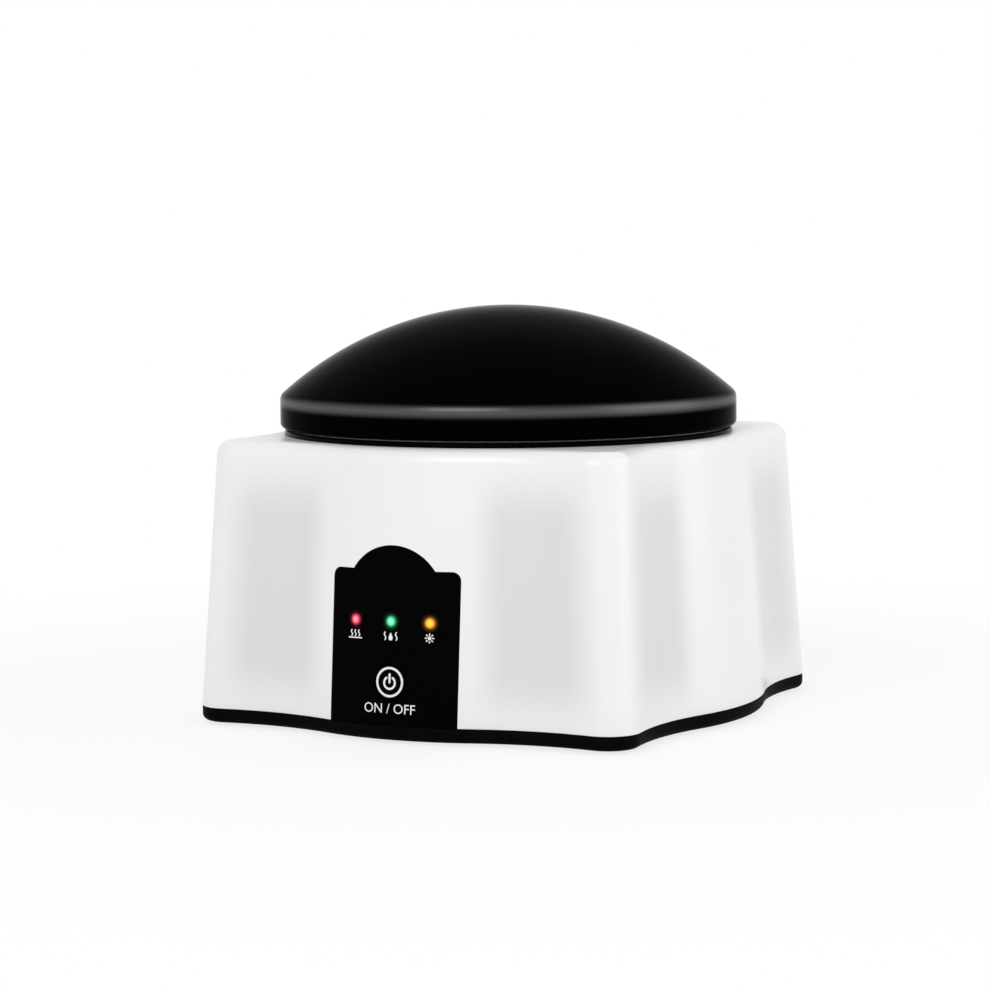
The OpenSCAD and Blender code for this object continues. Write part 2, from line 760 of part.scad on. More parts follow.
module deck_collar() {
    e = collar_edge_r;
    color("#101010") difference() {
        union() {
            rotate_extrude() polygon(concat(
                [[pot_in + part_gap, body_top], [collar_r, body_top]],
                arc([collar_r - e, collar_z - e], e, 0, 90, arc_steps),
                [[ring_r, collar_z], [ring_r, ring_z], [ring_in, ring_z], [ring_in, collar_z],
                    [pot_in + part_gap, collar_z]]));
            four(collar_screw_r) translate([0, 0, collar_boss_z])
                cylinder(d = collar_boss_d, h = body_top - collar_boss_z + collar_t / 2);
        }
        four(collar_screw_r) translate([0, 0, collar_boss_z - over])
            cylinder(d = screw_d + 2 * screw_gap, h = collar_z - collar_boss_z);
    }
}
module collar_screws() {
    color("silver") four(collar_screw_r) translate([0, 0, well_z - collar_head_h])
        screw(screw_d, collar_head_d, collar_head_h, collar_z - well_z - collar_t);
}
module pot_gasket() {
    color("#b8b8b8") tube(recess_r - part_gap, well_r, gasket_z, pot_flange_z);
}
module steam_pot() {
    f = pot_fillet_r;
    o = f + pot_wall;
    color("#c4c7ca") difference() {
        union() {
            rotate_extrude() polygon(concat(
                [[0, pot_under_z]],
                arc([pot_r - o, pot_under_z + o], o, -90, 0, arc_steps),
                [[pot_r, pot_flange_z], [pot_flange_r, pot_flange_z], [pot_flange_r, body_top],
                    [pot_in, body_top]],
                arc([pot_in - f, pot_floor_z + f], f, 0, -90, arc_steps),
                [[0, pot_floor_z]]));
            four(pot_post_r) translate([0, 0, heater_z])
                cylinder(d = pot_post_d, h = heater_t + pot_wall / 2);
        }
        four(pot_post_r) translate([0, 0, heater_z - over])
            cylinder(d = screw_d + 2 * screw_gap, h = heater_t + over);
    }
}

module heater_plate() {
    color("#8f9296") difference() {
        translate([0, 0, heater_z]) cylinder(r = heater_r, h = heater_t);
        at_thermostat_screws() translate([0, 0, heater_z - over])
            cylinder(d = small_screw_d + 2 * screw_gap, h = small_screw_l + over);
    }
}
module at_thermostat_screws() {
    for (x = [-1, 1]) translate([x * thermostat_pitch / 2, 0, 0]) children();
}
module heater_clamp() {
    color("#a8acb0") difference() {
        tube(clamp_r, heater_r - clamp_lap, clamp_z, heater_z);
        four(pot_post_r) translate([0, 0, clamp_z - over])
            cylinder(d = screw_d + 2 * part_gap, h = clamp_t + 2 * over);
    }
}
module clamp_screws() {
    color("silver") four(pot_post_r) translate([0, 0, clamp_z - screw_head_h])
        big_screw(clamp_t + heater_t - tip_room);
}
module thermostat() {
    tab_t = small_head_h;
    color("#2c2c2c") difference() {
        union() {
            translate([0, 0, heater_z - thermostat_h]) cylinder(d = thermostat_d, h = thermostat_h);
            translate([0, 0, heater_z - tab_t]) {
                translate([-thermostat_pitch / 2, -small_head_d, 0])
                    cube([thermostat_pitch, 2 * small_head_d, tab_t]);
                at_thermostat_screws() cylinder(r = small_head_d, h = tab_t);
            }
            for (x = [-1, 1]) translate([x * thermostat_d / 4 - tab_t / 2, -small_head_d / 2, terminal_z])
                cube([tab_t, small_head_d, heater_z - thermostat_h / 2 - terminal_z]);
        }
        at_thermostat_screws() translate([0, 0, heater_z - tab_t - over])
            cylinder(d = small_screw_d + 2 * part_gap, h = tab_t + 2 * over);
    }
}
module thermostat_screws() {
    color("silver") at_thermostat_screws() translate([0, 0, heater_z - 2 * small_head_h])
        small_screw(small_screw_l);
}
module thermal_fuse() {
    fuse_y = thermostat_d / 2 + fuse_d * 2;
    color("#d8d2c0") difference() {
        union() {
            translate([-fuse_l / 2, fuse_y, heater_z - fuse_d / 2 - fuse_strap])
                rotate([0, 90, 0]) cylinder(d = fuse_d, h = fuse_l);
            translate([-fuse_l / 4, fuse_y - fuse_d, heater_z - fuse_d - fuse_strap])
                cube([fuse_l / 2, 2 * fuse_d, fuse_d + fuse_strap]);
        }
    }
}

module heat_shield() {
    color("#b4b8bc") difference() {
        tube(shield_r, shield_hole_r, shield_z, shield_z + shield_t);
        four(shield_post_r) translate([0, 0, shield_z - over])
            cylinder(d = small_screw_d + 2 * part_gap, h = shield_t + 2 * over);
    }
}
module shield_screws() {
    color("silver") four(shield_post_r) translate([0, 0, shield_z + shield_t + small_head_h])
        mirror([0, 0, 1]) small_screw(small_screw_l);
}

module finger_deck() {
    color("#151515") difference() {
        union() {
            translate([0, 0, deck_z]) cylinder(r = deck_r, h = deck_t);
            tube(deck_ring_r, deck_ring_r - deck_ring_t, deck_z - deck_ring_h, deck_z + deck_t / 2);
            lift_grips();
        }
        at_fingers() translate([0, 0, deck_z - over])
            cylinder(r = cup_out + part_gap, h = deck_t + 2 * over);
    }
}
module at_fingers() {
    for (a = finger_angles) rotate([0, 0, a]) translate([finger_arc_r, 0, 0]) children();
}
// Two curved ribs on the near side of the deck.
module lift_grips() {
    for (a = grip_angles) rotate([0, 0, a]) intersection() {
        tube(grip_r, grip_r - grip_t, deck_z + deck_t / 2, deck_top + grip_h);
        translate([0, -grip_l / 2, 0]) cube([lid_d, grip_l, lid_top]);
    }
}
// Five cups that hang in the deck by their rims.
module finger_cups() {
    color("#1b1b1b") at_fingers() rotate_extrude() polygon([
        [cup_r, cup_low], [cup_out, cup_low], [cup_out, deck_top],
        [cup_rim_r, deck_top], [cup_rim_r, cup_top], [cup_r, cup_top]]);
}
module finger_seals() {
    color("#9a9a9a") at_fingers() {
        tube(cup_r - part_gap, cup_r - part_gap - sleeve_t, cup_top - sleeve_h, cup_top + sleeve_t);
        tube(cup_out, cup_r - part_gap - sleeve_t, cup_top, cup_top + sleeve_t);
    }
}

// The lid: an upright rim with rounded edges, and a spherical dome.
module lid_dome() {
    s = lid_shoulder_r;
    e = lid_edge_r;
    blend = dome_blend(s);
    color("#080808") rotate_extrude() polygon(concat(
        [[lid_in, lid_z], [lid_r - e, lid_z]],
        arc([lid_r - e, lid_z + e], e, -90, 0, arc_steps),
        arc([lid_r - s, blend[0]], s, 0, blend[1], arc_steps),
        tail(arc([0, dome_z], dome_r, blend[1], 90, 4 * arc_steps)),
        arc([0, dome_z], dome_r - lid_wall, 90, acos(lid_in / (dome_r - lid_wall)), 4 * arc_steps)));
}
// Height of the centre of an arc of radius s that touches the rim and the dome, and the angle there.
function dome_blend(s) =
    let (x = lid_r - s, reach = dome_r - s, z = dome_z + sqrt(reach * reach - x * x))
    [z, atan2(z - dome_z, x)];
module lid_liner() {
    outer = acos(skirt_r / liner_r);
    inner = acos(skirt_in / (liner_r - liner_t));
    color("#3a3a3c") rotate_extrude() polygon(concat(
        [[skirt_in, skirt_z], [skirt_r, skirt_z]],
        arc([0, dome_z], liner_r, outer, 90, 4 * arc_steps),
        arc([0, dome_z], liner_r - liner_t, 90, inner, 4 * arc_steps)));
}
module lid_seal() {
    color("#8c8c8c") tube(skirt_r - liner_t / 4, skirt_in, collar_z, skirt_z);
}

body_shell();
base_tray();
rubber_feet();
base_screws();
control_panel();
power_button();
switch_plunger();
tact_switch();
heat_window();
steam_window();
warm_window();
light_baffle();
lamp_chips();
control_board();
board_screws();
power_relay();
capacitors();
lead_sockets();
power_inlet();
inlet_pin();
deck_collar();
collar_screws();
pot_gasket();
steam_pot();
heater_plate();
heater_clamp();
clamp_screws();
thermostat();
thermostat_screws();
thermal_fuse();
heat_shield();
shield_screws();
finger_deck();
finger_cups();
finger_seals();
lid_dome();
lid_liner();
lid_seal();
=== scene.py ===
import json
from math import acos, asin, atan2, copysign, cos, degrees, hypot, pi, radians, sin, sqrt, tan
import bmesh
import bpy
from mathutils import Matrix, Vector


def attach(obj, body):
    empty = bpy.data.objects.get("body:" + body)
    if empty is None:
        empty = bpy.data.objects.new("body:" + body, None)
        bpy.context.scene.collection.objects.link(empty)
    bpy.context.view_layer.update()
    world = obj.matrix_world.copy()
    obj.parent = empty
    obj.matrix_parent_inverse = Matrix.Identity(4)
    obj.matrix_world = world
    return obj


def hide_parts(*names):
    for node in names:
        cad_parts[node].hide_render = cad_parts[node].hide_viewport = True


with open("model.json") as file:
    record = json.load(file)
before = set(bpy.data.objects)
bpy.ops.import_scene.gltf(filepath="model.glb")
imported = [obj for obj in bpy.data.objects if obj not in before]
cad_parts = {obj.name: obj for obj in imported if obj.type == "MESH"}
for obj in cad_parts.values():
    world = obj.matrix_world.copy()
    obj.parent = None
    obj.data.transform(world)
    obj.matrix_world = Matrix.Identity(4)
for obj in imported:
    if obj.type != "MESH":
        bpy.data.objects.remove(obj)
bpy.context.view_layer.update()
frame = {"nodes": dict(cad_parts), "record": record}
nodes = frame["nodes"]
scene = bpy.context.scene
mm = 0.001
print("frame:", len(nodes), "CAD nodes")

# the camera stands where the photograph was taken from
view = {
    "turn": 26.857,    # degrees to the right of the panel
    "dip": 5.336,      # degrees below level
    "roll": -0.481,
    "reach": 1148.4,   # mm from the middle of the object
    "height": 182.0,
    "aside": -4.95,
    "lens": 119.03,
}


def placeCamera(v):
    turn, dip, roll = (radians(v[k]) for k in ("turn", "dip", "roll"))
    right = Vector((cos(turn), sin(turn), 0))
    ahead = Vector((-sin(turn) * cos(dip), cos(turn) * cos(dip), -sin(dip)))
    up = right.cross(ahead)
    spot = Vector((sin(turn) * v["reach"], -cos(turn) * v["reach"], v["height"])) + right * v["aside"]
    c, s = cos(roll), sin(roll)
    data = bpy.data.cameras.new("camera")
    data.lens = v["lens"]
    data.sensor_width = 36
    data.clip_end = 60
    made = bpy.data.objects.new("camera", data)
    made.matrix_world = Matrix((right * c + up * s, up * c - right * s, -ahead)).transposed().to_4x4()
    made.location = spot * mm
    scene.collection.objects.link(made)
    scene.camera = made


placeCamera(view)
scene.view_settings.view_transform = "Standard"
print("camera: set")


class Term:    # one socket that can take part in a sum
    def __init__(self, sheet, socket):
        self.sheet, self.socket = sheet, socket

    def __add__(self, other): return self.sheet.maths("ADD", self, other)
    def __radd__(self, other): return self.sheet.maths("ADD", other, self)
    def __sub__(self, other): return self.sheet.maths("SUBTRACT", self, other)
    def __rsub__(self, other): return self.sheet.maths("SUBTRACT", other, self)
    def __mul__(self, other): return self.sheet.maths("MULTIPLY", self, other)
    def __rmul__(self, other): return self.sheet.maths("MULTIPLY", other, self)
    def __truediv__(self, other): return self.sheet.maths("DIVIDE", self, other)
    def __rtruediv__(self, other): return self.sheet.maths("DIVIDE", other, self)
    def __pow__(self, other): return self.sheet.maths("POWER", self, other)
    def __rpow__(self, other): return self.sheet.maths("POWER", other, self)
    def __lt__(self, other): return self.sheet.maths("LESS_THAN", self, other)
    def __gt__(self, other): return self.sheet.maths("GREATER_THAN", self, other)


class Sheet:    # a node tree being filled in
    def __init__(self, tree):
        self.tree = tree
        tree.nodes.clear()

    def add(self, kind, values=None, out=0, **settings):
        node = self.tree.nodes.new(kind)
        for name, value in settings.items():
            setattr(node, name, value)
        for name, value in (values or {}).items():
            if isinstance(value, Term):
                self.tree.links.new(value.socket, node.inputs[name])
            elif node.inputs[name].type == "RGBA":
                node.inputs[name].default_value = (*value[:3], 1)
            else:
                node.inputs[name].default_value = value
        return Term(self, node.outputs[out]) if node.outputs else node

    def also(self, term, out):
        return Term(self, term.socket.node.outputs[out])

    def maths(self, operation, *parts):
        return self.add("ShaderNodeMath", dict(enumerate(parts)), operation=operation)

    def vector(self, operation, *parts, out=0):
        return self.add("ShaderNodeVectorMath", dict(enumerate(parts)), out, operation=operation)

    def mix(self, share, low, high):
        return self.add("ShaderNodeMix", {0: share, 6: low, 7: high}, 2, data_type="RGBA")

    def parts(self, term):
        split = self.add("ShaderNodeSeparateXYZ", {0: term})
        return [self.also(split, i) for i in range(3)]

    def ramp(self, term, low, high):
        # 0 below low, 1 above high and smooth between
        return self.add("ShaderNodeMapRange", {"Value": term, "From Min": low, "From Max": high},
                        interpolation_type="SMOOTHSTEP")

    def bell(self, term, middle, spread):
        # 1 at the middle, falling smoothly to 0 a spread away
        return 1 - self.ramp(self.maths("ABSOLUTE", term - middle), 0, spread)


class Growth(Sheet):    # a Geometry Nodes tree being filled in
    def __init__(self, name, inputs):
        self.group = bpy.data.node_groups.new(name, "GeometryNodeTree")
        labels = {**inputs, "Finish": "Material"}
        for label, kind in labels.items():
            self.group.interface.new_socket(label, in_out="INPUT", socket_type="NodeSocket" + kind)
        self.group.interface.new_socket("Made", in_out="OUTPUT", socket_type="NodeSocketGeometry")
        super().__init__(self.group)
        given = self.add("NodeGroupInput")
        self.given = [self.also(given, label) for label in labels]

    def gather(self, kind, parts, into=0, **settings):
        # a node that takes several parts in one socket
        made = self.add(kind, **settings)
        for part in parts:
            self.tree.links.new(part.socket, made.socket.node.inputs[into])
        return made

    def boolean(self, operation, parts):
        return self.gather("GeometryNodeMeshBoolean", parts, "Mesh 2", operation=operation, solver="EXACT")

    def cylinder(self, sides, r, depth):
        return self.add("GeometryNodeMeshCylinder", {"Vertices": sides, "Radius": r, "Depth": depth})

    def onPoints(self, points, part):
        return self.add("GeometryNodeInstanceOnPoints", {"Points": points, "Instance": part})

    def move(self, part, spot):
        return self.add("GeometryNodeTransform", {"Geometry": part, "Translation": spot})

    def point(self, x=0, y=0, z=0):
        return self.add("ShaderNodeCombineXYZ", {0: x, 1: y, 2: z})

    def done(self, part):
        real = self.add("GeometryNodeRealizeInstances", {0: part})
        dressed = self.add("GeometryNodeSetMaterial", {"Geometry": real, "Material": self.given[-1]})
        self.add("NodeGroupOutput", {0: dressed})
        return self.group


class Finish(Sheet):    # a material being filled in
    def __init__(self, name):
        self.material = bpy.data.materials.new(name)
        self.material.use_nodes = True
        super().__init__(self.material.node_tree)
        self.spot = self.add("ShaderNodeTexCoord", out="Object")
        self.x, self.y, self.z = self.parts(self.spot)

    def noise(self, size, detail=3, rough=0.5, over=None):
        # size in millimetres
        return self.add("ShaderNodeTexNoise", {"Vector": over or self.spot, "Scale": 1 / (size * mm),
                                               "Detail": detail, "Roughness": rough})

    def cells(self, size, feature="F1", values=None, **settings):
        values = {"Vector": self.spot, "Scale": 1 / (size * mm), **(values or {})}
        return self.add("ShaderNodeTexVoronoi", values, feature=feature, **settings)

    def bump(self, height, depth, over=None):
        values = {"Height": height, "Distance": depth * mm, "Strength": 1.0}
        if over:
            values["Normal"] = over
        return self.add("ShaderNodeBump", values)

    def stretched(self, turn, scale):
        # the place on the piece, turned and scaled, for marks that run one way
        return self.add("ShaderNodeMapping", {"Vector": self.spot, "Rotation": turn, "Scale": scale})

    def done(self, **values):
        named = {"colour": "Base Color", "rough": "Roughness", "metal": "Metallic", "normal": "Normal",
                 "coat": "Coat Weight", "coatRough": "Coat Roughness", "coatIor": "Coat IOR",
                 "shine": "Specular IOR Level", "glow": "Emission Color", "glowPower": "Emission Strength",
                 "inner": "Subsurface Weight", "innerScale": "Subsurface Scale"}
        surface = self.add("ShaderNodeBsdfPrincipled", {named[k]: v for k, v in values.items()})
        self.add("ShaderNodeOutputMaterial", {"Surface": surface})
        return self.material


room = {
    "floorSize": 14.0,       # metres
    "floorColour": (0.93, 0.93, 0.93),
    "shadowReach": 0.42,     # metres round the object where the floor still shows its shadow
    "skyLight": 0.605,
    "lampReach": 1.6,        # metres from the lamps to the point that they face
    "lampAim": 0.07,         # metres above the table
}
# each soft box: power in watts, width in metres, degrees right of the panel's front, degrees above level
lamps = {
    "keyLight": (8.1, 0.95, 2, 32),
    "fillLight": (8.2, 1.5, 104, 20),
    "topLight": (1.8, 1.5, -140, 62),
}


def anyRay(sheet):
    # 1 for camera, glossy and transmission rays, 0 for the light that falls on things
    seen = sheet.add("ShaderNodeLightPath", out="Is Camera Ray")
    return sheet.maths("MAXIMUM", seen, sheet.maths("MAXIMUM", sheet.also(seen, "Is Glossy Ray"),
                                                    sheet.also(seen, "Is Transmission Ray")))


def makeFloor(r):
    half = r["floorSize"] / 2
    mesh = bpy.data.meshes.new("floor")
    corners = [(-half, -half, 0), (half, -half, 0), (half, half, 0), (-half, half, 0)]
    mesh.from_pydata(corners, [], [(0, 1, 2, 3)])
    floor = bpy.data.objects.new("floor", mesh)
    scene.collection.objects.link(floor)
    f = Finish("paleFloor")
    away = f.vector("LENGTH", f.spot, out="Value")
    far = f.ramp(away, r["shadowReach"] * 0.35, r["shadowReach"])
    paper = f.add("ShaderNodeBsdfDiffuse", {"Color": r["floorColour"]})
    white = f.add("ShaderNodeEmission", {"Color": (1, 1, 1), "Strength": 1.0})
    share = anyRay(f) * (0.78 + 0.22 * far)
    both = f.add("ShaderNodeMixShader", {0: share, 1: paper, 2: white})
    f.add("ShaderNodeOutputMaterial", {"Surface": both})
    mesh.materials.append(f.material)


def makeSky(r):
    world = bpy.data.worlds.new("studio")
    world.use_nodes = True
    scene.world = world
    s = Sheet(world.node_tree)
    light = s.add("ShaderNodeBackground", {"Color": (1, 1, 1), "Strength": r["skyLight"]})
    white = s.add("ShaderNodeBackground", {"Color": (1, 1, 1), "Strength": 1.0})
    both = s.add("ShaderNodeMixShader", {0: anyRay(s), 1: light, 2: white})
    s.add("ShaderNodeOutputWorld", {"Surface": both})


def addLamp(r, name, power, size, turn, rise):
    data = bpy.data.lights.new(name, "AREA")
    data.energy, data.size = power, size
    lamp = bpy.data.objects.new(name, data)
    a, e = radians(turn), radians(rise)
    aim = Vector((0, 0, r["lampAim"]))
    lamp.location = Vector((sin(a) * cos(e), -cos(a) * cos(e), sin(e))) * r["lampReach"] + aim
    lamp.rotation_euler = (aim - lamp.location).to_track_quat("-Z", "Y").to_euler()
    scene.collection.objects.link(lamp)


makeFloor(room)
makeSky(room)
for name, values in lamps.items():
    addLamp(room, name, *values)
print("stage: floor, sky and lamps")


def mouldedWhite():
    # painted shade: the hollows between bulges and corners are coloured a darker grey than the rest, standing
    # in for the less light that reaches them
    f = Finish("mouldedWhite")
    broad = f.noise(38, 2)
    grain = f.noise(0.55, 2)
    ax, ay = f.maths("ABSOLUTE", f.x), f.maths("ABSOLUTE", f.y)
    turn = f.maths("ARCTAN2", f.maths("MINIMUM", ax, ay), f.maths("MAXIMUM", ax, ay)) * (180 / pi)
    tall = f.ramp(f.z, 4 * mm, 26 * mm) * f.ramp(f.z, 94 * mm, 72 * mm)
    paintedHollowShade = f.ramp(turn, 17, 26) * f.ramp(turn, 43, 36) * tall
    pale = f.mix(broad, (0.845, 0.847, 0.852), (0.875, 0.875, 0.875))
    # painted shade: the base colour darkens in the hollows, as if shaded
    colour = f.mix(paintedHollowShade * 0.9, pale, (0.695, 0.697, 0.702))
    rough = 0.30 + 0.07 * f.noise(11, 3)
    skin = f.bump(f.noise(7, 2), 0.02)
    return f.done(colour=colour, rough=rough, shine=0.42, coat=0.25 + 0.1 * broad, coatRough=0.14,
                  normal=f.bump(grain, 0.005, over=skin))


def glossBlack(name="glossBlack"):
    # a polished black moulding: faint flow marks and hairline scuffs
    f = Finish(name)
    mark = f.ramp(f.noise(1.4, 6, 0.7, f.stretched((0.3, 0.5, 0.9), (1, 9, 1))), 0.62, 0.8)
    colour = f.mix(mark, (0.0011, 0.0011, 0.0012), (0.0032, 0.0032, 0.0033))
    return f.done(colour=colour, rough=0.10 + 0.08 * mark + 0.04 * f.noise(24, 2), shine=0.010,
                  normal=f.bump(f.noise(9, 2), 0.012))


def panelBlack(windows, reach=3.3):
    # painted light: the gloss black panel glows in a faint ring round each lamp, standing in for the light
    # that spills from it
    f = Finish("panelBlack")
    glow = (0, 0, 0)
    for centre, tint in windows:
        away = f.vector("DISTANCE", f.spot, tuple(c * mm for c in centre), out="Value")
        # painted light: a coloured glow on the panel's own surface round this lamp
        glow = f.mix(f.ramp(away, reach * mm, 1.4 * mm), glow, [c * 0.12 for c in tint])
    flow = f.noise(9, 2)
    mark = f.ramp(f.noise(1.4, 6, 0.7), 0.62, 0.8)
    return f.done(colour=f.mix(mark, (0.0011, 0.0011, 0.0012), (0.0028, 0.0028, 0.0029)),
                  rough=0.10 + 0.06 * flow, shine=0.008, glow=glow, glowPower=1.0, normal=f.bump(flow, 0.012))


def domeBlack(highlightZ, spread):
    # the lid: a clear coat laid only in a band where the rim turns over into the dome, a painted highlight;
    # the coat there reflects the white surroundings as a soft grey band
    f = Finish("domeBlack")
    nx, ny, _ = f.parts(f.add("ShaderNodeNewGeometry", out="Normal"))
    outwards = f.ramp((nx * f.x + ny * f.y) / mm, 0, 8)
    # painted highlight: the coat exists only in this band round the shoulder
    highlightBand = f.bell(f.z, highlightZ * mm, spread * mm) * outwards
    drift = f.noise(46, 2)
    mark = f.ramp(f.noise(1.1, 6, 0.7, f.stretched((0.2, 0.1, 0.6), (8, 1, 1))), 0.64, 0.82)
    return f.done(colour=f.mix(mark, (0.0008, 0.0008, 0.0009), (0.0026, 0.0026, 0.0027)),
                  rough=0.11 + 0.05 * drift + 0.08 * mark, shine=0.002,
                  coat=highlightBand * (0.38 + 0.05 * drift), coatIor=2.7, coatRough=0.30,
                  normal=f.bump(f.noise(13, 2), 0.012))


def satinBlack(name="satinBlack"):
    f = Finish(name)
    grain = f.cells(0.5)
    colour = f.mix(f.noise(16, 3), (0.0014, 0.0014, 0.0015), (0.0032, 0.0032, 0.0034))
    return f.done(colour=colour, rough=0.46 + 0.12 * f.noise(5, 3), shine=0.012,
                  normal=f.bump(grain, 0.010, over=f.bump(f.noise(12, 2), 0.02)))


def darkPlastic(name, colour, rough=0.5, shine=0.3):
    f = Finish(name)
    mild = [c * 1.35 for c in colour]
    return f.done(colour=f.mix(f.noise(9, 3), colour, mild), rough=rough - 0.06 + 0.12 * f.noise(3, 3),
                  shine=shine, normal=f.bump(f.noise(0.6, 2), 0.012))


def softRubber():
    f = Finish("softRubber")
    dust = f.ramp(f.noise(4, 5, 0.65), 0.5, 0.8)
    return f.done(colour=f.mix(dust, (0.012, 0.012, 0.012), (0.036, 0.035, 0.033)), rough=0.72 + 0.14 * dust,
                  shine=0.25, normal=f.bump(f.noise(0.4, 3), 0.03))


def greySilicone(name, colour):
    f = Finish(name)
    bloom = f.noise(6, 4)
    high = [min(1, c * 1.22) for c in colour]
    return f.done(colour=f.mix(bloom, colour, high), rough=0.52 + 0.14 * bloom, shine=0.35, inner=0.12,
                  innerScale=0.002, normal=f.bump(f.noise(0.8, 3), 0.02))


def grained(name, low, high, patch, grain, rough, depth, **more):
    # two shades in patches, under a fine grain of (size, detail, roughness) that dulls and roughens
    f = Finish(name)
    fine = f.noise(*grain)
    return f.done(colour=f.mix(f.noise(patch), low, high), rough=rough[0] + rough[1] * fine,
                  normal=f.bump(fine, depth), **more)


def spunAluminium():
    # rings left by the spinning tool run round the pot's axis
    f = Finish("spunAluminium")
    across = f.vector("LENGTH", f.add("ShaderNodeCombineXYZ", {0: f.x, 1: f.y}), out="Value")
    track = f.add("ShaderNodeCombineXYZ", {0: across, 1: f.z})
    rings = f.noise(0.45, 4, 0.6, track)
    lime = f.ramp(f.noise(13, 5, 0.6), 0.52, 0.78)
    metal = f.mix(rings, (0.60, 0.61, 0.62), (0.696, 0.7076, 0.7192))
    return f.done(colour=f.mix(lime, metal, (0.70, 0.69, 0.67)), rough=0.26 + 0.16 * rings + 0.20 * lime,
                  metal=1.0 - 0.25 * lime, normal=f.bump(rings, 0.012))


def litWindow(name, centre, rim, core, tint):
    # the lamp behind the window shows brightest in its middle
    f = Finish(name)
    away = f.vector("DISTANCE", f.spot, tuple(c * mm for c in centre), out="Value")
    glow = f.ramp(away, rim * mm, rim * 0.3 * mm)
    hot = f.ramp(away, rim * 0.75 * mm, 0.0)
    speck = 0.94 + 0.12 * f.noise(0.7, 2)
    light = f.mix(hot, f.mix(glow, [c * 0.18 for c in tint], tint), core)
    return f.done(colour=f.mix(glow, [c * 0.10 for c in tint], tint), rough=0.22 + 0.1 * f.noise(0.9, 2),
                  glow=f.mix(f.maths("MINIMUM", speck, 1), (0, 0, 0), light), glowPower=1.0,
                  shine=0.3, normal=f.bump(f.noise(0.8, 2), 0.01))


def circuitGreen():
    # solder mask over a maze of copper tracks, with bare pads
    f = Finish("circuitGreen")
    edges = f.cells(2.6, "DISTANCE_TO_EDGE", {"Randomness": 0.7}, distance="MANHATTAN")
    track = 1 - f.ramp(edges, 0.08, 0.14)
    pad = 1 - f.ramp(f.cells(3.4), 0.13, 0.16)
    mask = f.mix(f.noise(6, 2), (0.010, 0.085, 0.030), (0.014, 0.115, 0.042))
    colour = f.mix(pad, f.mix(track, mask, (0.020, 0.17, 0.065)), (0.50, 0.50, 0.48))
    return f.done(colour=colour, rough=0.30 + 0.12 * f.noise(1.2, 2), metal=pad * 0.9, shine=0.45,
                  normal=f.bump(track, 0.03))


finishes = {
    "white_shell": mouldedWhite(),
    "black_base": satinBlack(),
    "black_gloss": glossBlack(),
    "button_black": glossBlack("buttonBlack"),
    "dark_plastic": darkPlastic("darkPlastic", (0.016, 0.016, 0.017)),
    "rubber_black": softRubber(),
    "silicone_grey": greySilicone("greySilicone", (0.25, 0.25, 0.26)),
    "steel": grained("zincSteel", (0.46, 0.46, 0.47), (0.66, 0.66, 0.66), 2.4, (0.35, 4), (0.30, 0.16), 0.006,
                     metal=1.0),
    "aluminium": spunAluminium(),
    "board_green": circuitGreen(),
    "relay_blue": darkPlastic("relayBlue", (0.030, 0.085, 0.26), 0.30, 0.45),
    "capacitor_blue": darkPlastic("capacitorBlue", (0.022, 0.030, 0.10), 0.26, 0.45),
    "socket_ivory": darkPlastic("socketIvory", (0.46, 0.43, 0.36), 0.48, 0.40),
    "chip_white": darkPlastic("chipWhite", (0.52, 0.52, 0.42), 0.35, 0.50),
    "brass": grained("platedBrass", (0.52, 0.36, 0.12), (0.68, 0.50, 0.20), 1.6, (0.3, 4), (0.22, 0.18),
                     0.004, metal=1.0),
    "ceramic": grained("firedCeramic", (0.50, 0.45, 0.36), (0.62, 0.57, 0.48), 5, (0.5, 5, 0.65),
                       (0.74, 0.14), 0.03, shine=0.25),
    "lid_black": domeBlack(109.2, 2.8),
    "print": grained("printedWhite", (0.74, 0.74, 0.74), (0.88, 0.88, 0.88), 0.35, (0.35, 3), (0.5, 0.1),
                     0.004, shine=0.3),
}
print("finishes:", len(finishes))


def asMesh(name, points, faces):
    # points in millimetres
    mesh = bpy.data.meshes.new(name)
    mesh.from_pydata([[c * mm for c in p] for p in points], [], faces)
    return mesh


def closeUp(mesh, crease=38):
    # poles and seams are merged, faces turned outwards, and edges past the crease angle stay sharp
    work = bmesh.new()
    work.from_mesh(mesh)
    bmesh.ops.remove_doubles(work, verts=work.verts, dist=1e-6)
    bmesh.ops.dissolve_degenerate(work, edges=work.edges, dist=1e-7)
    bmesh.ops.recalc_face_normals(work, faces=work.faces)
    for face in work.faces:
        face.smooth = True
    for edge in work.edges:
        edge.smooth = edge.is_manifold and edge.calc_face_angle(0) < radians(crease)
    work.to_mesh(mesh)
    work.free()
    return mesh


def place(name, mesh):
    made = bpy.data.objects.new(name, mesh)
    scene.collection.objects.link(made)
    return made


def settle(thing):
    # whatever modifiers a piece has become its plain mesh
    graph = bpy.context.evaluated_depsgraph_get()
    mesh = bpy.data.meshes.new_from_object(thing.evaluated_get(graph))
    mesh.name = thing.name
    thing.modifiers.clear()
    thing.data = mesh
    return thing


def join(name, meshes):
    work = bmesh.new()
    for mesh in meshes:
        work.from_mesh(mesh)
    made = bpy.data.meshes.new(name)
    work.to_mesh(made)
    work.free()
    return made


def carve(thing, cutter, operation="DIFFERENCE"):
    knife = place("knife", cutter)
    step = thing.modifiers.new("cut", "BOOLEAN")
    step.operation, step.object, step.solver = operation, knife, "EXACT"
    settle(thing)
    bpy.data.objects.remove(knife)
    return thing


def thicken(thing, depth, edge=0):
    # a sheet grows inwards from its face, and its edges are rounded over
    step = thing.modifiers.new("depth", "SOLIDIFY")
    step.thickness, step.offset, step.use_even_offset = depth * mm, -1, True
    if edge:
        soften(thing, edge)
    return settle(thing)


def soften(thing, edge, rounds=3, angle=40):
    step = thing.modifiers.new("edge", "BEVEL")
    step.width, step.segments, step.limit_method = edge * mm, rounds, "ANGLE"
    step.angle_limit = radians(angle)


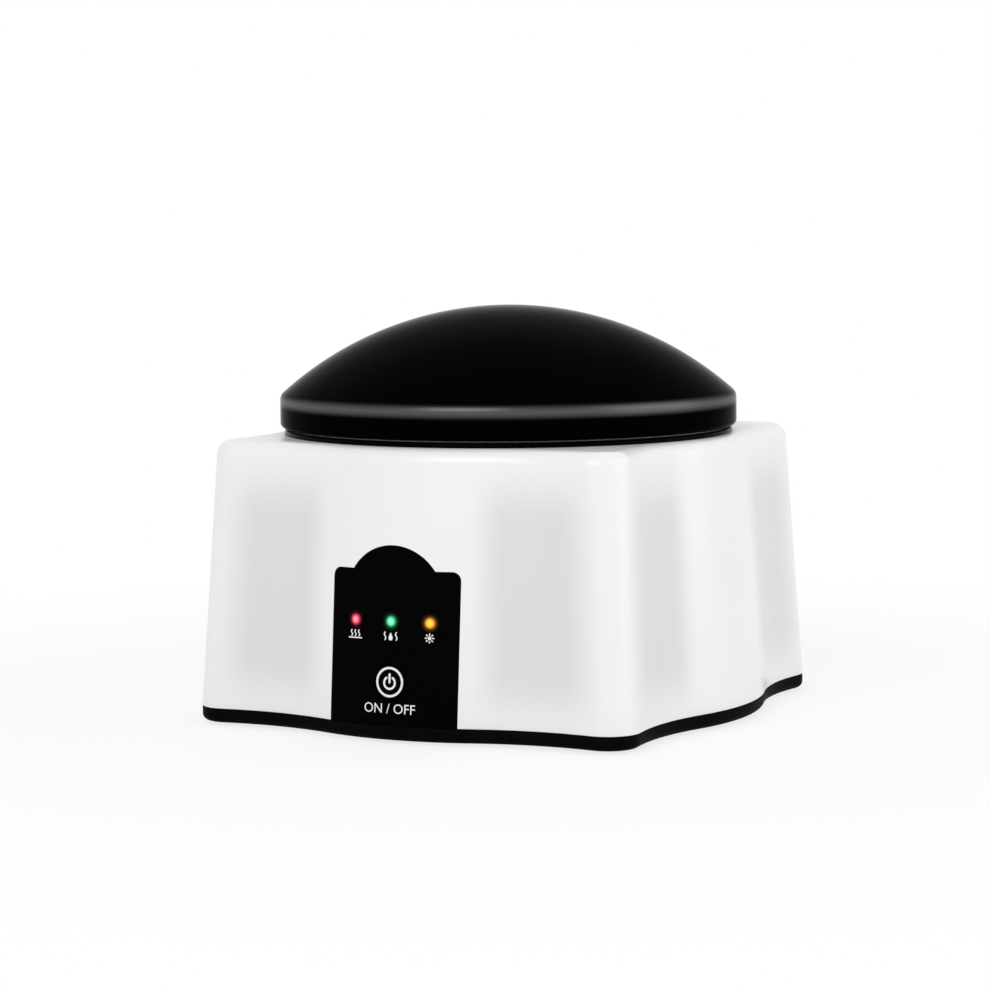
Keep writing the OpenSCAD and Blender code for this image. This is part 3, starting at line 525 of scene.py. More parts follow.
def hand(thing, body, slot, stands=(), crease=38, finish=None):
    # the finished piece gets its material, picked by its slot unless a finish is given, and its body; the CAD
    # nodes that it stands for are hidden
    closeUp(thing.data, crease)
    thing.data.materials.clear()
    thing.data.materials.append(finish or finishes[slot])
    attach(thing, body)
    if stands:
        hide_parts(*stands)


def piece(name, meshes, *rest, **more):
    hand(place(name, join(name, meshes)), *rest, **more)


def turned(profile, steps=192, at=(0, 0)):
    # a closed profile of (radius, height) turned round an upright axis
    points, faces = [], []
    for k in range(steps):
        a = 2 * pi * k / steps
        points += [(at[0] + r * cos(a), at[1] + r * sin(a), z) for r, z in profile]
    n = len(profile)
    for k in range(steps):
        for i in range(n):
            j, m = (i + 1) % n, (k + 1) % steps
            faces.append((k * n + i, m * n + i, m * n + j, k * n + j))
    return closeUp(asMesh("turned", points, faces))


def arc(cx, cz, r, start, end, steps):
    return [(cx + r * cos(radians(start + (end - start) * i / steps)),
             cz + r * sin(radians(start + (end - start) * i / steps))) for i in range(steps + 1)]


def corner(x, z, r, start, end, steps):
    # a quarter turn whose centre lies inside the corner at (x, z)
    middle = radians((start + end) / 2)
    return arc(x - copysign(r, cos(middle)), z - copysign(r, sin(middle)), r, start, end, steps)


diagonals = (45, 135, 225, 315)


def onRing(r, angles=diagonals):
    return [(r * cos(radians(a)), r * sin(radians(a))) for a in angles]


def atCorners(half):
    return [(x, y) for x in (-half, half) for y in (-half, half)]


def ring(inside, outside, low, high):
    return [(inside, low), (outside, low), (outside, high), (inside, high)]


def rod(r, low, high, at=(0, 0), sides=32):
    return turned([(0, low), (r, low), (r, high), (0, high)], sides, at)


def prism(outline, low, high, lay):
    # an outline of (a, b) swept from low to high; lay turns (a, b, c) into a point
    n = len(outline)
    points = [lay(a, b, low) for a, b in outline] + [lay(a, b, high) for a, b in outline]
    faces = [tuple(range(n))[::-1], tuple(range(n, 2 * n))]
    faces += [(i, (i + 1) % n, n + (i + 1) % n, n + i) for i in range(n)]
    return closeUp(asMesh("prism", points, faces), 30)


# the lobed plan that shell and base share
plan = {
    "Half width": 90.2,
    "Bulge radius": 85.4,
    "Corner in": 19.2,
    "Corner radius": 10.9,
    "Hollow radius": 87.2,
}
draft = radians(4.32)
seamZ, bodyTop, shoulderR, wall = 6.0, 97.4, 5.0, 2.4
shoulderZ = bodyTop - shoulderR
tangentZ = shoulderZ + shoulderR * sin(draft)


def lean(z):
    return (z - seamZ) * tan(draft)


def planTree():
    # moves a bare grid onto the lobed walls: a bulge arc, a hollow arc and a corner arc that touch
    g = Growth("lobedPlan", {"Grid": "Geometry", **{name: "Float" for name in plan}})
    grid, halfWidth, bulgeR, cornerIn, cornerR, hollowR, _ = g.given

    def column(name):
        return g.add("GeometryNodeInputNamedAttribute", {"Name": name}, data_type="FLOAT")

    def cosine(a): return g.maths("COSINE", a)
    def sine(a): return g.maths("SINE", a)
    def root(a): return g.maths("SQRT", a)
    turn, height, leanIn, setIn, pull, roundR = (column(n) for n in
                                                 ("turn", "height", "leanIn", "setIn", "pull", "roundR"))
    eighth = g.maths("FLOOR", turn)
    odd = g.maths("MODULO", eighth, 2)
    along = turn - eighth
    part = 3 * (along + odd * (1 - 2 * along))
    bulgeX = halfWidth - bulgeR
    corner = halfWidth - cornerIn - leanIn / sqrt(2)
    rb = bulgeR - leanIn - setIn
    rc = cornerR - setIn
    rv = hollowR + leanIn + setIn
    dx = corner - bulgeX
    span = root(dx * dx + corner * corner)
    down = ((rb + rv) ** 2 - (rc + rv) ** 2 + span * span) / (2 * span)
    out = root((rb + rv) ** 2 - down * down)
    ux, uy = dx / span, corner / span
    hollowX = bulgeX + down * ux + out * uy
    hollowY = down * uy - out * ux
    a1 = g.maths("ARCTAN2", hollowY, hollowX - bulgeX)
    a2 = g.maths("ARCTAN2", hollowY - corner, hollowX - corner)
    onBulge = part < 1
    onCorner = part > 2
    onHollow = 1 - onBulge - onCorner
    angle = onBulge * (a1 * part) + onHollow * (a1 + pi + (a2 - a1) * (part - 1)) \
        + onCorner * (a2 + (pi / 4 - a2) * (part - 2))
    radius = onBulge * rb + onHollow * rv + onCorner * rc
    x = onBulge * bulgeX + onHollow * hollowX + onCorner * corner + radius * cosine(angle)
    y = onHollow * hollowY + onCorner * corner + radius * sine(angle)
    side = g.maths("FLOOR", eighth / 2) * (pi / 2)
    px, py = x + odd * (y - x), y + odd * (x - y)
    qx, qy = px * cosine(side) - py * sine(side), px * sine(side) + py * cosine(side)
    shrink = 1 + pull * (roundR / root(qx * qx + qy * qy) - 1)
    spot = g.point(qx * shrink * mm, qy * shrink * mm, height * mm)
    return g.done(g.add("GeometryNodeSetPosition", {"Geometry": grid, "Position": spot}))


lobedPlan = planTree()


def setInputs(step, tree, sizes):
    for item in tree.interface.items_tree:
        if item.in_out == "INPUT" and item.name in sizes:
            step[item.identifier] = sizes[item.name]


def lobed(name, rings, finish, closed=True, perEighth=30):
    # rings of (height, lean in, set in, pull to a circle, that circle's radius)
    count = 8 * perEighth
    faces = []
    last = len(rings) if closed else len(rings) - 1
    for k in range(last):
        for i in range(count):
            j, m = (i + 1) % count, (k + 1) % len(rings)
            faces.append((k * count + i, k * count + j, m * count + j, m * count + i))
    mesh = asMesh(name, [(i, k, 0) for k in range(len(rings)) for i in range(count)], faces)
    columns = {"turn": [i / perEighth for _ in rings for i in range(count)]}
    for n, key in enumerate(("height", "leanIn", "setIn", "pull", "roundR")):
        columns[key] = [ring[n] for ring in rings for _ in range(count)]
    for key, values in columns.items():
        mesh.attributes.new(key, "FLOAT", "POINT").data.foreach_set("value", values)
    thing = place(name, mesh)
    step = thing.modifiers.new("plan", "NODES")
    step.node_group = lobedPlan
    setInputs(step, lobedPlan, {**plan, "Finish": finish})
    settle(thing)
    for key in columns:
        thing.data.attributes.remove(thing.data.attributes[key])
    closeUp(thing.data)
    return thing


def steps(low, high, count):
    return [low + (high - low) * i / count for i in range(count + 1)]


shell = {
    "recessR": 65.4, "recessZ": 95.2, "wellR": 57.9, "wellZ": 92.4, "wellRingR": 75.7,
    "postIn": 58.0, "postR": 4.0, "postZ": 6.4, "pilotR": 1.55, "pilotL": 15.0,
    "bossR": 69.95, "bossHole": 3.35, "edge": 0.35, "panelGap": 0.15, "socketR": 7.85, "socketZ": 18.0,
}


# the arched front panel's outline, which the shell is cut for
front = {"half": 23.7, "cornerR": 3.0, "sideZ": 57.2, "archR": 18.188, "archZ": 47.212, "archHalf": 15.2}


def panelOutline(grow, low):
    half, top, r, archR = front["half"] + grow, front["sideZ"] + grow, front["cornerR"], front["archR"] + grow
    meet = degrees(asin((top - front["archZ"]) / archR))
    side = corner(half, top, r, 0, 90, 8)
    return [(-half, low), (half, low)] + side + arc(0, front["archZ"], archR, meet, 180 - meet, 40) \
        + [(-x, z) for x, z in reversed(side)]


def upright(a, b, c):
    return (a, c, b)


def makeShell(v):
    e = v["edge"]
    d = lean(tangentZ)
    outer = [(seamZ, 0, e, 0, 1), (seamZ + e * 0.3, 0, e * 0.3, 0, 1)] \
        + [(z, lean(z), 0, 0, 1) for z in steps(seamZ + e, tangentZ, 26)]
    rise = [radians(a) for a in steps(degrees(draft), 90, 12)]
    outer += [(shoulderZ + shoulderR * sin(a), d, shoulderR * (cos(draft) - cos(a)), 0, 1)
              for a in rise[1:]]
    flat = outer[-1]
    top = [(bodyTop, flat[1], flat[2], p, v["recessR"]) for p in (0.3, 0.6, 0.9, 1)]
    well = [(v["recessZ"], d, 0, 1, v["recessR"]), (v["recessZ"], d, 0, 1, v["wellR"]),
            (v["wellZ"], d, 0, 1, v["wellR"]), (v["wellZ"], d, 0, 1, v["wellRingR"]),
            (bodyTop - wall, d, 0, 1, v["wellRingR"])]
    ri = shoulderR - wall
    inner = [(shoulderZ + ri * sin(a), d, wall + ri * (cos(draft) - cos(a)), 0, 1)
             for a in reversed(rise[1:])]
    inner += [(z, lean(z), wall, 0, 1) for z in reversed(steps(seamZ, tangentZ, 10))]
    thing = lobed("whiteShell", outer + top + well + inner, finishes["white_shell"])
    r, low = v["socketR"], 1
    notch = [(-r, low), (r, low)] + arc(0, v["socketZ"], r, 0, 180, 32)
    cuts = [prism(panelOutline(v["panelGap"], low), -104, -45, upright), prism(notch, 45, 104, upright)]
    cuts += [rod(v["bossHole"], v["wellZ"] - 1, bodyTop + 1, at) for at in onRing(v["bossR"])]
    carve(thing, join("cuts", cuts))
    pilotR, postZ, postTop, pilotZ = v["pilotR"], v["postZ"], bodyTop - 2, v["postZ"] + v["pilotL"]
    posts = [turned([(pilotR, postZ), (v["postR"], postZ), (v["postR"], postTop), (0, postTop), (0, pilotZ),
                     (pilotR, pilotZ)], 32, at) for at in atCorners(v["postIn"])]
    thing.data = join("whiteShell", [thing.data] + posts)
    hand(thing, "housing", "white_shell", ["body_shell"], 32)


makeShell(shell)
print("shell: lobed walls, shoulder, well and posts")

tray = {
    "bottom": 1.0, "edge": 2.3, "floorZ": 3.4, "lipO": 2.7, "lipT": 1.4, "lipZ": 10.0, "seamGap": 0.3,
    "padR": 6.4, "padZ": 6.4, "seatZ": 4.2, "shankHole": 1.65, "headHole": 3.3,
    "shieldR": 47.0, "shieldZ": 26.0, "shieldPostR": 4.0, "shieldHole": 1.05,
    "footIn": 67.5, "footHole": 6.65, "slots": 7, "pitch": 7.0, "slotL": 26.0, "slotW": 3.0, "slotX": 17.0,
}


def slotTree():
    # a row of round-ended slots, to be cut through a floor
    g = Growth("slotRow", {"Count": "Int", "Pitch": "Float", "Length": "Float", "Width": "Float",
                           "Depth": "Float", "Start": "Vector"})
    count, pitch, length, width, depth, start, _ = g.given
    row = g.add("GeometryNodeMeshLine", {"Count": count, "Start Location": start,
                                         "Offset": g.point(0, pitch)})
    bar = g.add("GeometryNodeMeshCube", {"Size": g.point(length - width, width, depth)})
    cap = g.cylinder(24, width / 2, depth)
    caps = [g.move(cap, g.point(side * (length - width))) for side in (-0.5, 0.5)]
    return g.done(g.onPoints(row, g.boolean("UNION", [bar, *caps])))


slotRow = slotTree()


def grown(name, tree, sizes, mesh=None):
    # the plain mesh that a node tree makes
    thing = place(name, mesh or bpy.data.meshes.new(name))
    step = thing.modifiers.new("nodes", "NODES")
    step.node_group = tree
    setInputs(step, tree, sizes)
    settle(thing)
    made = thing.data
    bpy.data.objects.remove(thing)
    return made


def makeTray(v):
    b, e, o = v["bottom"], v["edge"], v["lipO"]
    rings = [(b, 0, e, p, 0) for p in (1, 0.75, 0.5, 0.25)]
    rings += [(b + e * (1 - cos(a)), 0, e * (1 - sin(a)), 0, 1)
              for a in (radians(t) for t in steps(0, 90, 9))]
    gap, inside, lipZ, shieldZ = v["seamGap"], o + v["lipT"], v["lipZ"], v["shieldZ"]
    rings += [(seamZ - gap, 0, 0, 0, 1), (seamZ - 0.3 * gap, 0, 0.3 * gap, 0, 1), (seamZ, 0, gap, 0, 1)]
    rings += [(seamZ, 0, o, 0, 1), (lipZ, lean(lipZ), o, 0, 1), (lipZ, lean(lipZ), inside, 0, 1),
              (seamZ, 0, inside, 0, 1), (v["floorZ"], 0, inside, 0, 1)]
    rings += [(v["floorZ"], 0, inside, p, 0) for p in (0.3, 0.65, 1)]
    thing = lobed("baseTray", rings, finishes["black_base"], closed=False)
    corners, shield = atCorners(shell["postIn"]), onRing(v["shieldR"])
    carve(thing, join("pads", [rod(v["padR"], b + 1.2, v["padZ"], at) for at in corners]
                      + [rod(v["shieldPostR"], b + 1.2, shieldZ, at) for at in shield]), "UNION")
    carve(thing, join("shanks", [rod(v["shankHole"], b - 1, v["padZ"] + 1, at) for at in corners]))
    seats = [rod(v["headHole"], b - 1, v["seatZ"], at) for at in corners]
    seats += [rod(v["footHole"], b - 1, b + 1, at, 48) for at in atCorners(v["footIn"])]
    seats += [rod(v["shieldHole"], shieldZ - 6, shieldZ + 1, at, 16) for at in shield]
    carve(thing, join("seats", seats))
    firstSlot = -(v["slots"] - 1) / 2 * v["pitch"]
    for side in (-1, 1):
        carve(thing, grown("slots", slotRow, {
            "Count": v["slots"], "Pitch": v["pitch"] * mm, "Length": v["slotL"] * mm,
            "Width": v["slotW"] * mm, "Depth": 12 * mm, "Finish": finishes["black_base"],
            "Start": (side * v["slotX"] * mm, firstSlot * mm, 2 * mm)}))
    hand(thing, "housing", "black_base", ["base_tray"], 32)


makeTray(tray)
print("base: rounded band, lip, pads and air slots")

# the curved front, and what lies on it
halfWidth, bulgeR = plan["Half width"], plan["Bulge radius"]


def frontAt(x, z):
    # a point of the front bulge's cone
    return (x, bulgeR - halfWidth - sqrt((bulgeR - lean(z)) ** 2 - x * x), z)


def inFront(centreZ, x, up, deep):
    # a point at a depth straight in from the face at centreZ
    return (x, lean(centreZ) - halfWidth + up * sin(draft) + deep * cos(draft),
            centreZ + up * cos(draft) - deep * sin(draft))


def onFront(centreZ, x, up, proud=0):
    # a point of the cone in the sloping frame that lies on it at centreZ
    r = (bulgeR - lean(centreZ + up * cos(draft))) / cos(draft)
    k = 1 - tan(draft) ** 2
    return inFront(centreZ, x, up, (r - sqrt(r ** 2 - k * x * x)) / k - proud)


def circle(r, sides, x=0, y=0):
    return [(x + r * cos(2 * pi * i / sides), y + r * sin(2 * pi * i / sides)) for i in range(sides)]


def frontRod(centreZ, x, r, start, end, sides=32):
    return prism(circle(r, sides, x), start, end, lambda a, b, c: inFront(centreZ, a, b, c))


def discFace(name, centreZ, x, r, proud, rounds=10, sides=64):
    # a round sheet that follows the front's curve
    points = [onFront(centreZ, x, 0, proud(0))]
    faces = []
    for s in (k / rounds for k in range(1, rounds + 1)):
        points += [onFront(centreZ, x + dx, up, proud(s)) for dx, up in circle(r * s, sides)]
    for i in range(sides):
        j = (i + 1) % sides
        faces.append((0, 1 + i, 1 + j))
        for k in range(rounds - 1):
            a = 1 + k * sides
            faces.append((a + i, a + sides + i, a + sides + j, a + j))
    return place(name, asMesh(name, points, faces))


panel = {
    "low": 6.15, "edge": 0.3, "depth": 2.4, "rows": 56,
    "lampZ": 40.5, "lampPitch": 13.9, "lampR": 2.0, "lampGap": 0.15, "flangeR": 2.7,
    "buttonZ": 20.5, "buttonR": 5.8, "buttonGap": 0.3,
    "seatDepth": 4.309, "capDepth": 4.0, "flangeT": 0.8,      # where windows and button are held from behind
    "boardX": 17.0, "postR": 2.8, "postDepth": 3.1, "boardDepth": 10.109, "boardBack": 11.709,
    "boardUp": (8.312, 43.312),
}
# each lamp: its place along the row, its node, its slot, and the colours of its middle and rim
lampSet = {
    "heat": (-1, "heat_window", "red_window", (1.0, 0.46, 0.50), (0.78, 0.03, 0.09)),
    "steam": (0, "steam_window", "green_window", (0.40, 1.0, 0.56), (0.03, 0.56, 0.24)),
    "warm": (1, "warm_window", "amber_window", (1.0, 0.62, 0.05), (0.88, 0.32, 0.01)),
}


def makePanel(v):
    archHalf, r, sideZ = front["archHalf"], front["cornerR"], front["sideZ"]
    flatEnd = front["half"] - r
    across = steps(0, archHalf, 18) + steps(archHalf, flatEnd, 6)[1:] \
        + [flatEnd + r * sin(radians(a)) for a in steps(0, 90, 9)[1:]]
    across = [-x for x in reversed(across[1:])] + across

    def top(x):
        x = abs(x)
        if x <= archHalf:
            return front["archZ"] + sqrt(front["archR"] ** 2 - x * x)
        return sideZ if x <= flatEnd else sideZ - r + sqrt(max(0, r * r - (x - flatEnd) ** 2))

    n = v["rows"] + 1
    points = [frontAt(x, z) for x in across for z in steps(v["low"], top(x), v["rows"])]
    faces = [(i * n + k, (i + 1) * n + k, (i + 1) * n + k + 1, i * n + k + 1)
             for i in range(len(across) - 1) for k in range(v["rows"])]
    thing = place("controlPanel", asMesh("controlPanel", points, faces))
    thicken(thing, v["depth"], v["edge"])
    pitch = v["lampPitch"]
    holes = [frontRod(v["lampZ"], x, v["lampR"] + v["lampGap"], -2, 5) for x in (-pitch, 0, pitch)]
    carve(thing, join("holes", holes + [frontRod(v["buttonZ"], 0, v["buttonR"] + v["buttonGap"], -2, 5, 64)]))
    posts = [frontRod(seamZ + up * cos(draft), x, v["postR"], v["postDepth"], v["boardDepth"], 24)
             for x in (-v["boardX"], v["boardX"]) for up in v["boardUp"]]
    thing.data = join("controlPanel", [thing.data] + posts)
    glowing = [(onFront(v["lampZ"], side * pitch, 0), rim) for side, _, _, _, rim in lampSet.values()]
    hand(thing, "housing", "black_gloss", ["control_panel"], 30, panelBlack(glowing))


def makeWindows(v):
    seat = v["seatDepth"]
    for name, (side, node, slot, core, rim) in lampSet.items():
        x = side * v["lampPitch"]
        thing = discFace(name + "Window", v["lampZ"], x, v["lampR"], lambda s: 0.12 * (1 - s * s))
        thicken(thing, v["capDepth"], 0.12)
        flange = frontRod(v["lampZ"], x, v["flangeR"], seat, seat + v["flangeT"], 48)
        thing.data = join(thing.name, [thing.data, flange])
        glass = litWindow(name + "Glass", onFront(v["lampZ"], x, 0), v["lampR"], core, rim)
        hand(thing, "housing", slot, [node], finish=glass)


def makeButton(v):
    z, seat = v["buttonZ"], v["seatDepth"]
    thing = discFace("powerCap", z, 0, v["buttonR"], lambda s: 0.0, 12, 96)
    thicken(thing, v["capDepth"], 0.25)
    thing.data = join("powerCap", [thing.data, frontRod(z, 0, 6.7, seat, seat + v["flangeT"], 64),
                                   frontRod(z, 0, 2.1, seat + 0.7, seat + 1.2, 32)])
    hand(thing, "power_button", "button_black", ["power_button"], 30)


makePanel(panel)
makeWindows(panel)
makeButton(panel)
print("front: panel, windows and button")

signs = {
    "proud": 0.045, "depth": 0.08, "labelZ": 35.6, "line": 0.42,
    "ringR": 4.65, "ringW": 0.78, "arcR": 2.0, "arcW": 0.72, "wordZ": 11.6, "wordH": 3.3,
}


def stroke(path, width, closed=False):
    # a flat line with round ends, as points and faces
    n = len(path)
    points, faces = [], []
    for i, (x, y) in enumerate(path):
        before = path[i - 1] if i or closed else path[0]
        after = path[(i + 1) % n] if i < n - 1 or closed else path[-1]
        dx, dy = after[0] - before[0], after[1] - before[1]
        size = hypot(dx, dy) or 1
        ox, oy = -dy / size * width / 2, dx / size * width / 2
        points += [(x + ox, y + oy), (x - ox, y - oy)]
    for i in range(n if closed else n - 1):
        j = (i + 1) % n
        faces.append((2 * i, 2 * i + 1, 2 * j + 1, 2 * j))
    if not closed:
        for end, step in ((0, 1), (n - 1, -1)):
            (x, y), (tx, ty) = path[end], path[end + step]
            away = atan2(y - ty, x - tx)
            first = len(points)
            points += [(x + width / 2 * cos(away + a), y + width / 2 * sin(away + a))
                       for a in (radians(t) for t in (60, 30, 0, -30, -60))]
            sideA, sideB = (2 * end + 1, 2 * end) if step == 1 else (2 * end, 2 * end + 1)
            faces.append((sideA, *range(first, first + 5), sideB))
    return points, faces


def blot(outline):
    return outline, [tuple(range(len(outline)))]


def wave(x, low, high, swing=0.28, count=14):
    return [(x + swing * sin(2 * pi * i / count), low + (high - low) * i / count) for i in range(count + 1)]


def printed(name, shapes, centreZ, x0, up0, body):
    # flat shapes laid on the front's curve as a thin print
    points, faces = [], []
    for shapePoints, shapeFaces in shapes:
        first = len(points)
        points += [onFront(centreZ, x0 + x, up0 + y, signs["proud"]) for x, y in shapePoints]
        faces += [tuple(first + i for i in face) for face in shapeFaces]
    mesh = asMesh(name, points, faces)
    work = bmesh.new()
    work.from_mesh(mesh)
    bmesh.ops.triangulate(work, faces=[f for f in work.faces if len(f.verts) > 4])
    for face in work.faces:
        if face.normal.y > 0:
            face.normal_flip()
    work.to_mesh(mesh)
    work.free()
    thing = place(name, mesh)
    thicken(thing, signs["depth"])
    hand(thing, body, "chip_white", finish=finishes["print"])


def makeSigns(v):
    w = v["line"]
    heat = [stroke(wave(x, -0.55, 1.35), w) for x in (-1.5, 0, 1.5)]
    heat.append(stroke([(-2.6, -1.15), (2.6, -1.15)], w))
    drop = [(1.0925 * sin(radians(a)) * sin(radians(a / 2)) ** 1.4, 1.35 * cos(radians(a)) - 0.05)
            for a in range(15, 360, 15)]
    steam = [blot(drop)] + [stroke(wave(x, -1.2, 1.3), w) for x in (-2.1, 2.1)]
    warm = [blot(circle(0.62, 24))] + [stroke(ends, w) for ends in zip(circle(1.05, 8), circle(1.45, 8))]
    under = (v["labelZ"] - panel["lampZ"]) / cos(draft)
    for name, shapes, side in (("heatSign", heat, -1), ("steamSign", steam, 0), ("warmSign", warm, 1)):
        printed(name, shapes, panel["lampZ"], side * panel["lampPitch"], under, "housing")
    around = stroke(circle(v["ringR"], 90), v["ringW"], True)
    inner = stroke(arc(0, -0.25, v["arcR"], 125, 415, 58), v["arcW"])
    bar = stroke([(0, -0.1), (0, 0.9), (0, 1.8), (0, 2.55)], v["ringW"])
    printed("powerSign", [around, inner, bar], panel["buttonZ"], 0, 0, "power_button")


def makeWord(v, text):
    curve = bpy.data.curves.new("word", "FONT")
    curve.body, curve.align_x, curve.align_y = text, "CENTER", "CENTER"
    curve.size = v["wordH"] / 0.72
    curve.resolution_u = 4
    thing = place("word", curve)
    flat = bpy.data.meshes.new_from_object(thing.evaluated_get(bpy.context.evaluated_depsgraph_get()))
    bpy.data.objects.remove(thing)
    points = [(c.co.x, c.co.y) for c in flat.vertices]
    faces = [tuple(f.vertices) for f in flat.polygons]
    up = (v["wordZ"] - panel["buttonZ"]) / cos(draft)
    printed("switchWord", [(points, faces)], panel["buttonZ"], 0, up, "housing")


makeSigns(signs)
makeWord(signs, "ON / OFF")
print("front: printed signs")

well = {
    "collarR": 78.6, "collarZ": 99.1, "edge": 1.0, "innerR": 56.25,
    "ringR": 75.55, "ringInR": 73.95, "ringZ": 102.6,
    "flangeR": 65.1, "flangeZ": 96.2, "potR": 57.6, "potInR": 56.1,
    "floorZ": 51.4, "underZ": 49.9, "fillet": 8.0, "presses": (46, 40, 34, 28, 22, 16),
    "bossR": 3.2, "bossZ": 92.6, "postAt": 43.8, "postZ": 43.9, "postR": 3.5, "pilotR": 1.55,
}


def makeWell(v):
    e = v["edge"]
    collar = [(v["innerR"], bodyTop), (v["collarR"], bodyTop)]
    edges = (("collarR", "collarZ", e, 0, 90, 8), ("ringR", "collarZ", 0.6, 270, 180, 5),
             ("ringR", "ringZ", 0.4, 0, 90, 5), ("ringInR", "ringZ", 0.4, 90, 180, 5),
             ("ringInR", "collarZ", 0.6, 0, -90, 5), ("innerR", "collarZ", 0.4, 90, 180, 4))
    for x, z, *turn in edges:
        collar += corner(v[x], v[z], *turn)
    bosses = [rod(v["bossR"], v["bossZ"], bodyTop + 0.5, at) for at in onRing(shell["bossR"])]
    piece("deckCollar", [turned(collar, 256)] + bosses, "housing", "black_gloss", ["deck_collar"])
    f, fo = v["fillet"], v["fillet"] + 1.5
    pot = [(0, v["underZ"])] + corner(v["potR"], v["underZ"], fo, -90, 0, 14)
    pot += [(v["potR"], v["flangeZ"]), (v["flangeR"], v["flangeZ"]), (v["flangeR"], bodyTop)]
    pot += corner(v["potInR"], bodyTop, 0.8, 90, 180, 6) + corner(v["potInR"], v["floorZ"], f, 0, -90, 14)
    for r in v["presses"]:      # shallow rings pressed into the floor
        pot += [(r + 0.9, v["floorZ"]), (r, v["floorZ"] + 0.35), (r - 0.9, v["floorZ"])]
    pot.append((0, v["floorZ"]))
    post = ring(v["pilotR"], v["postR"], v["postZ"], v["underZ"] + 0.7)
    posts = [turned(post, 32, at) for at in onRing(v["postAt"])]
    piece("steamPot", [turned(pot, 192)] + posts, "housing", "aluminium", ["steam_pot"])


makeWell(well)
print("well: collar and pot")

deck = {
    "z": 99.1, "top": 101.6, "r": 73.65, "edge": 0.5, "ringR": 55.8, "ringInR": 54.3, "ringZ": 91.1,
    "fingerR": 41.25, "step": 39.0,
    "cupR": 10.8, "cupOutR": 12.3, "rimR": 13.47, "rimZ": 103.0, "cupLow": 83.6, "cupGap": 0.15,
    "sleeveR": 10.65, "sleeveT": 1.2, "sleeveH": 9.0,
    "gripR": 68.85, "gripT": 2.4, "gripL": 22.0, "gripTop": 106.6, "gripEdge": 0.7,
    "grips": (-125, -55), "ribs": 9, "ribR": 0.55, "ribH": 4.2,
}
fingers = [90 + i * deck["step"] for i in (-2, -1, 0, 1, 2)]


def ribTree():
    # upright ribs spread along an arc round the axis
    g = Growth("ribRow", {"Count": "Int", "Radius": "Float", "Middle": "Float", "Spread": "Float",
                          "Rib radius": "Float", "Rib height": "Float", "Base height": "Float"})
    count, radius, middle, spread, ribR, ribH, base, _ = g.given
    row = g.add("GeometryNodeMeshLine", {"Count": count})
    angle = middle + spread * (g.add("GeometryNodeInputIndex") / (count - 1) - 0.5)
    spot = g.point(radius * g.maths("COSINE", angle), radius * g.maths("SINE", angle), base + ribH / 2)
    bent = g.add("GeometryNodeSetPosition", {"Geometry": row, "Position": spot})
    return g.done(g.onPoints(bent, g.cylinder(12, ribR, ribH)))


ribRow = ribTree()


def makeDeck(v):
    e = v["edge"]
    plate = [(0, v["z"]), (v["r"] - e, v["z"])] + corner(v["r"], v["z"], e, -90, 0, 4)
    plate += corner(v["r"], v["top"], e, 0, 90, 4)
    plate += [(r, v["top"]) for r in (66, 58, 50, 40, 30, 20, 10, 0)]
    thing = place("fingerDeck", turned(plate, 192))
    spots = onRing(v["fingerR"], fingers)
    holeR = v["cupOutR"] + v["cupGap"]
    carve(thing, join("holes", [rod(holeR, v["z"] - 1, v["top"] + 1, at, 64) for at in spots]))
    parts = [thing.data, turned(ring(v["ringInR"], v["ringR"], v["ringZ"], v["z"] + 0.5), 192)]
    half = degrees(v["gripL"] / 2 / v["gripR"])
    gripIn, r = v["gripR"] - v["gripT"], v["gripEdge"]
    section = corner(v["gripR"], v["gripTop"], r, 0, 90, 4) + corner(gripIn, v["gripTop"], r, 90, 180, 4)
    section += [(gripIn, v["top"] - 0.4), (v["gripR"], v["top"] - 0.4)]
    for middle in v["grips"]:
        turns = [radians(a) for a in steps(middle - half, middle + half, 24)]
        points = [(r * cos(a), r * sin(a), z) for a in turns for r, z in section]
        n = len(section)
        faces = [(k * n + i, k * n + (i + 1) % n, (k + 1) * n + (i + 1) % n, (k + 1) * n + i)
                 for k in range(24) for i in range(n)] + [tuple(range(n)), tuple(range(24 * n, 25 * n))]
        parts.append(closeUp(asMesh("grip", points, faces)))
        parts.append(grown("ribs", ribRow, {
            "Count": v["ribs"], "Radius": gripIn * mm, "Middle": radians(middle),
            "Spread": radians(2 * half * 0.82), "Rib radius": v["ribR"] * mm, "Rib height": v["ribH"] * mm,
            "Base height": (v["top"] - 0.3) * mm, "Finish": finishes["dark_plastic"]}))
    thing.data = join("fingerDeck", parts)
    hand(thing, "finger_deck", "dark_plastic", ["finger_deck"], 30)
    cup = [(v["cupR"], v["cupLow"]), (v["cupOutR"], v["cupLow"]), (v["cupOutR"], v["top"])]
    cup += [(v["rimR"], v["top"])] + corner(v["rimR"], v["rimZ"], 0.7, 0, 90, 5) + [(v["cupR"], v["rimZ"])]
    piece("fingerCups", [turned(cup, 96, at) for at in spots], "finger_deck", "dark_plastic", ["finger_cups"])
    ro, ri, rimZ = v["sleeveR"], v["sleeveR"] - v["sleeveT"], v["rimZ"]
    zt, low = rimZ + v["sleeveT"], rimZ - v["sleeveH"]
    sleeve = [(ro, rimZ), (v["cupOutR"] - 0.5, rimZ)] + arc(v["cupOutR"] - 0.6, rimZ + 0.6, 0.6, -90, 90, 6)
    sleeve += corner(ri, zt, 0.6, 90, 180, 5)
    sleeve += [(ri + 0.25, zt - 3.5), (ri, zt - 5.2), (ri, low + 0.5), (ri + 0.5, low), (ro, low)]
    piece("fingerSleeves", [turned(sleeve, 96, at) for at in spots], "finger_deck", "silicone_grey",
          ["finger_seals"], finish=greySilicone("sleeveSilicone", (0.22, 0.22, 0.23)))


makeDeck(deck)
print("deck: plate, grips, cups and sleeves")

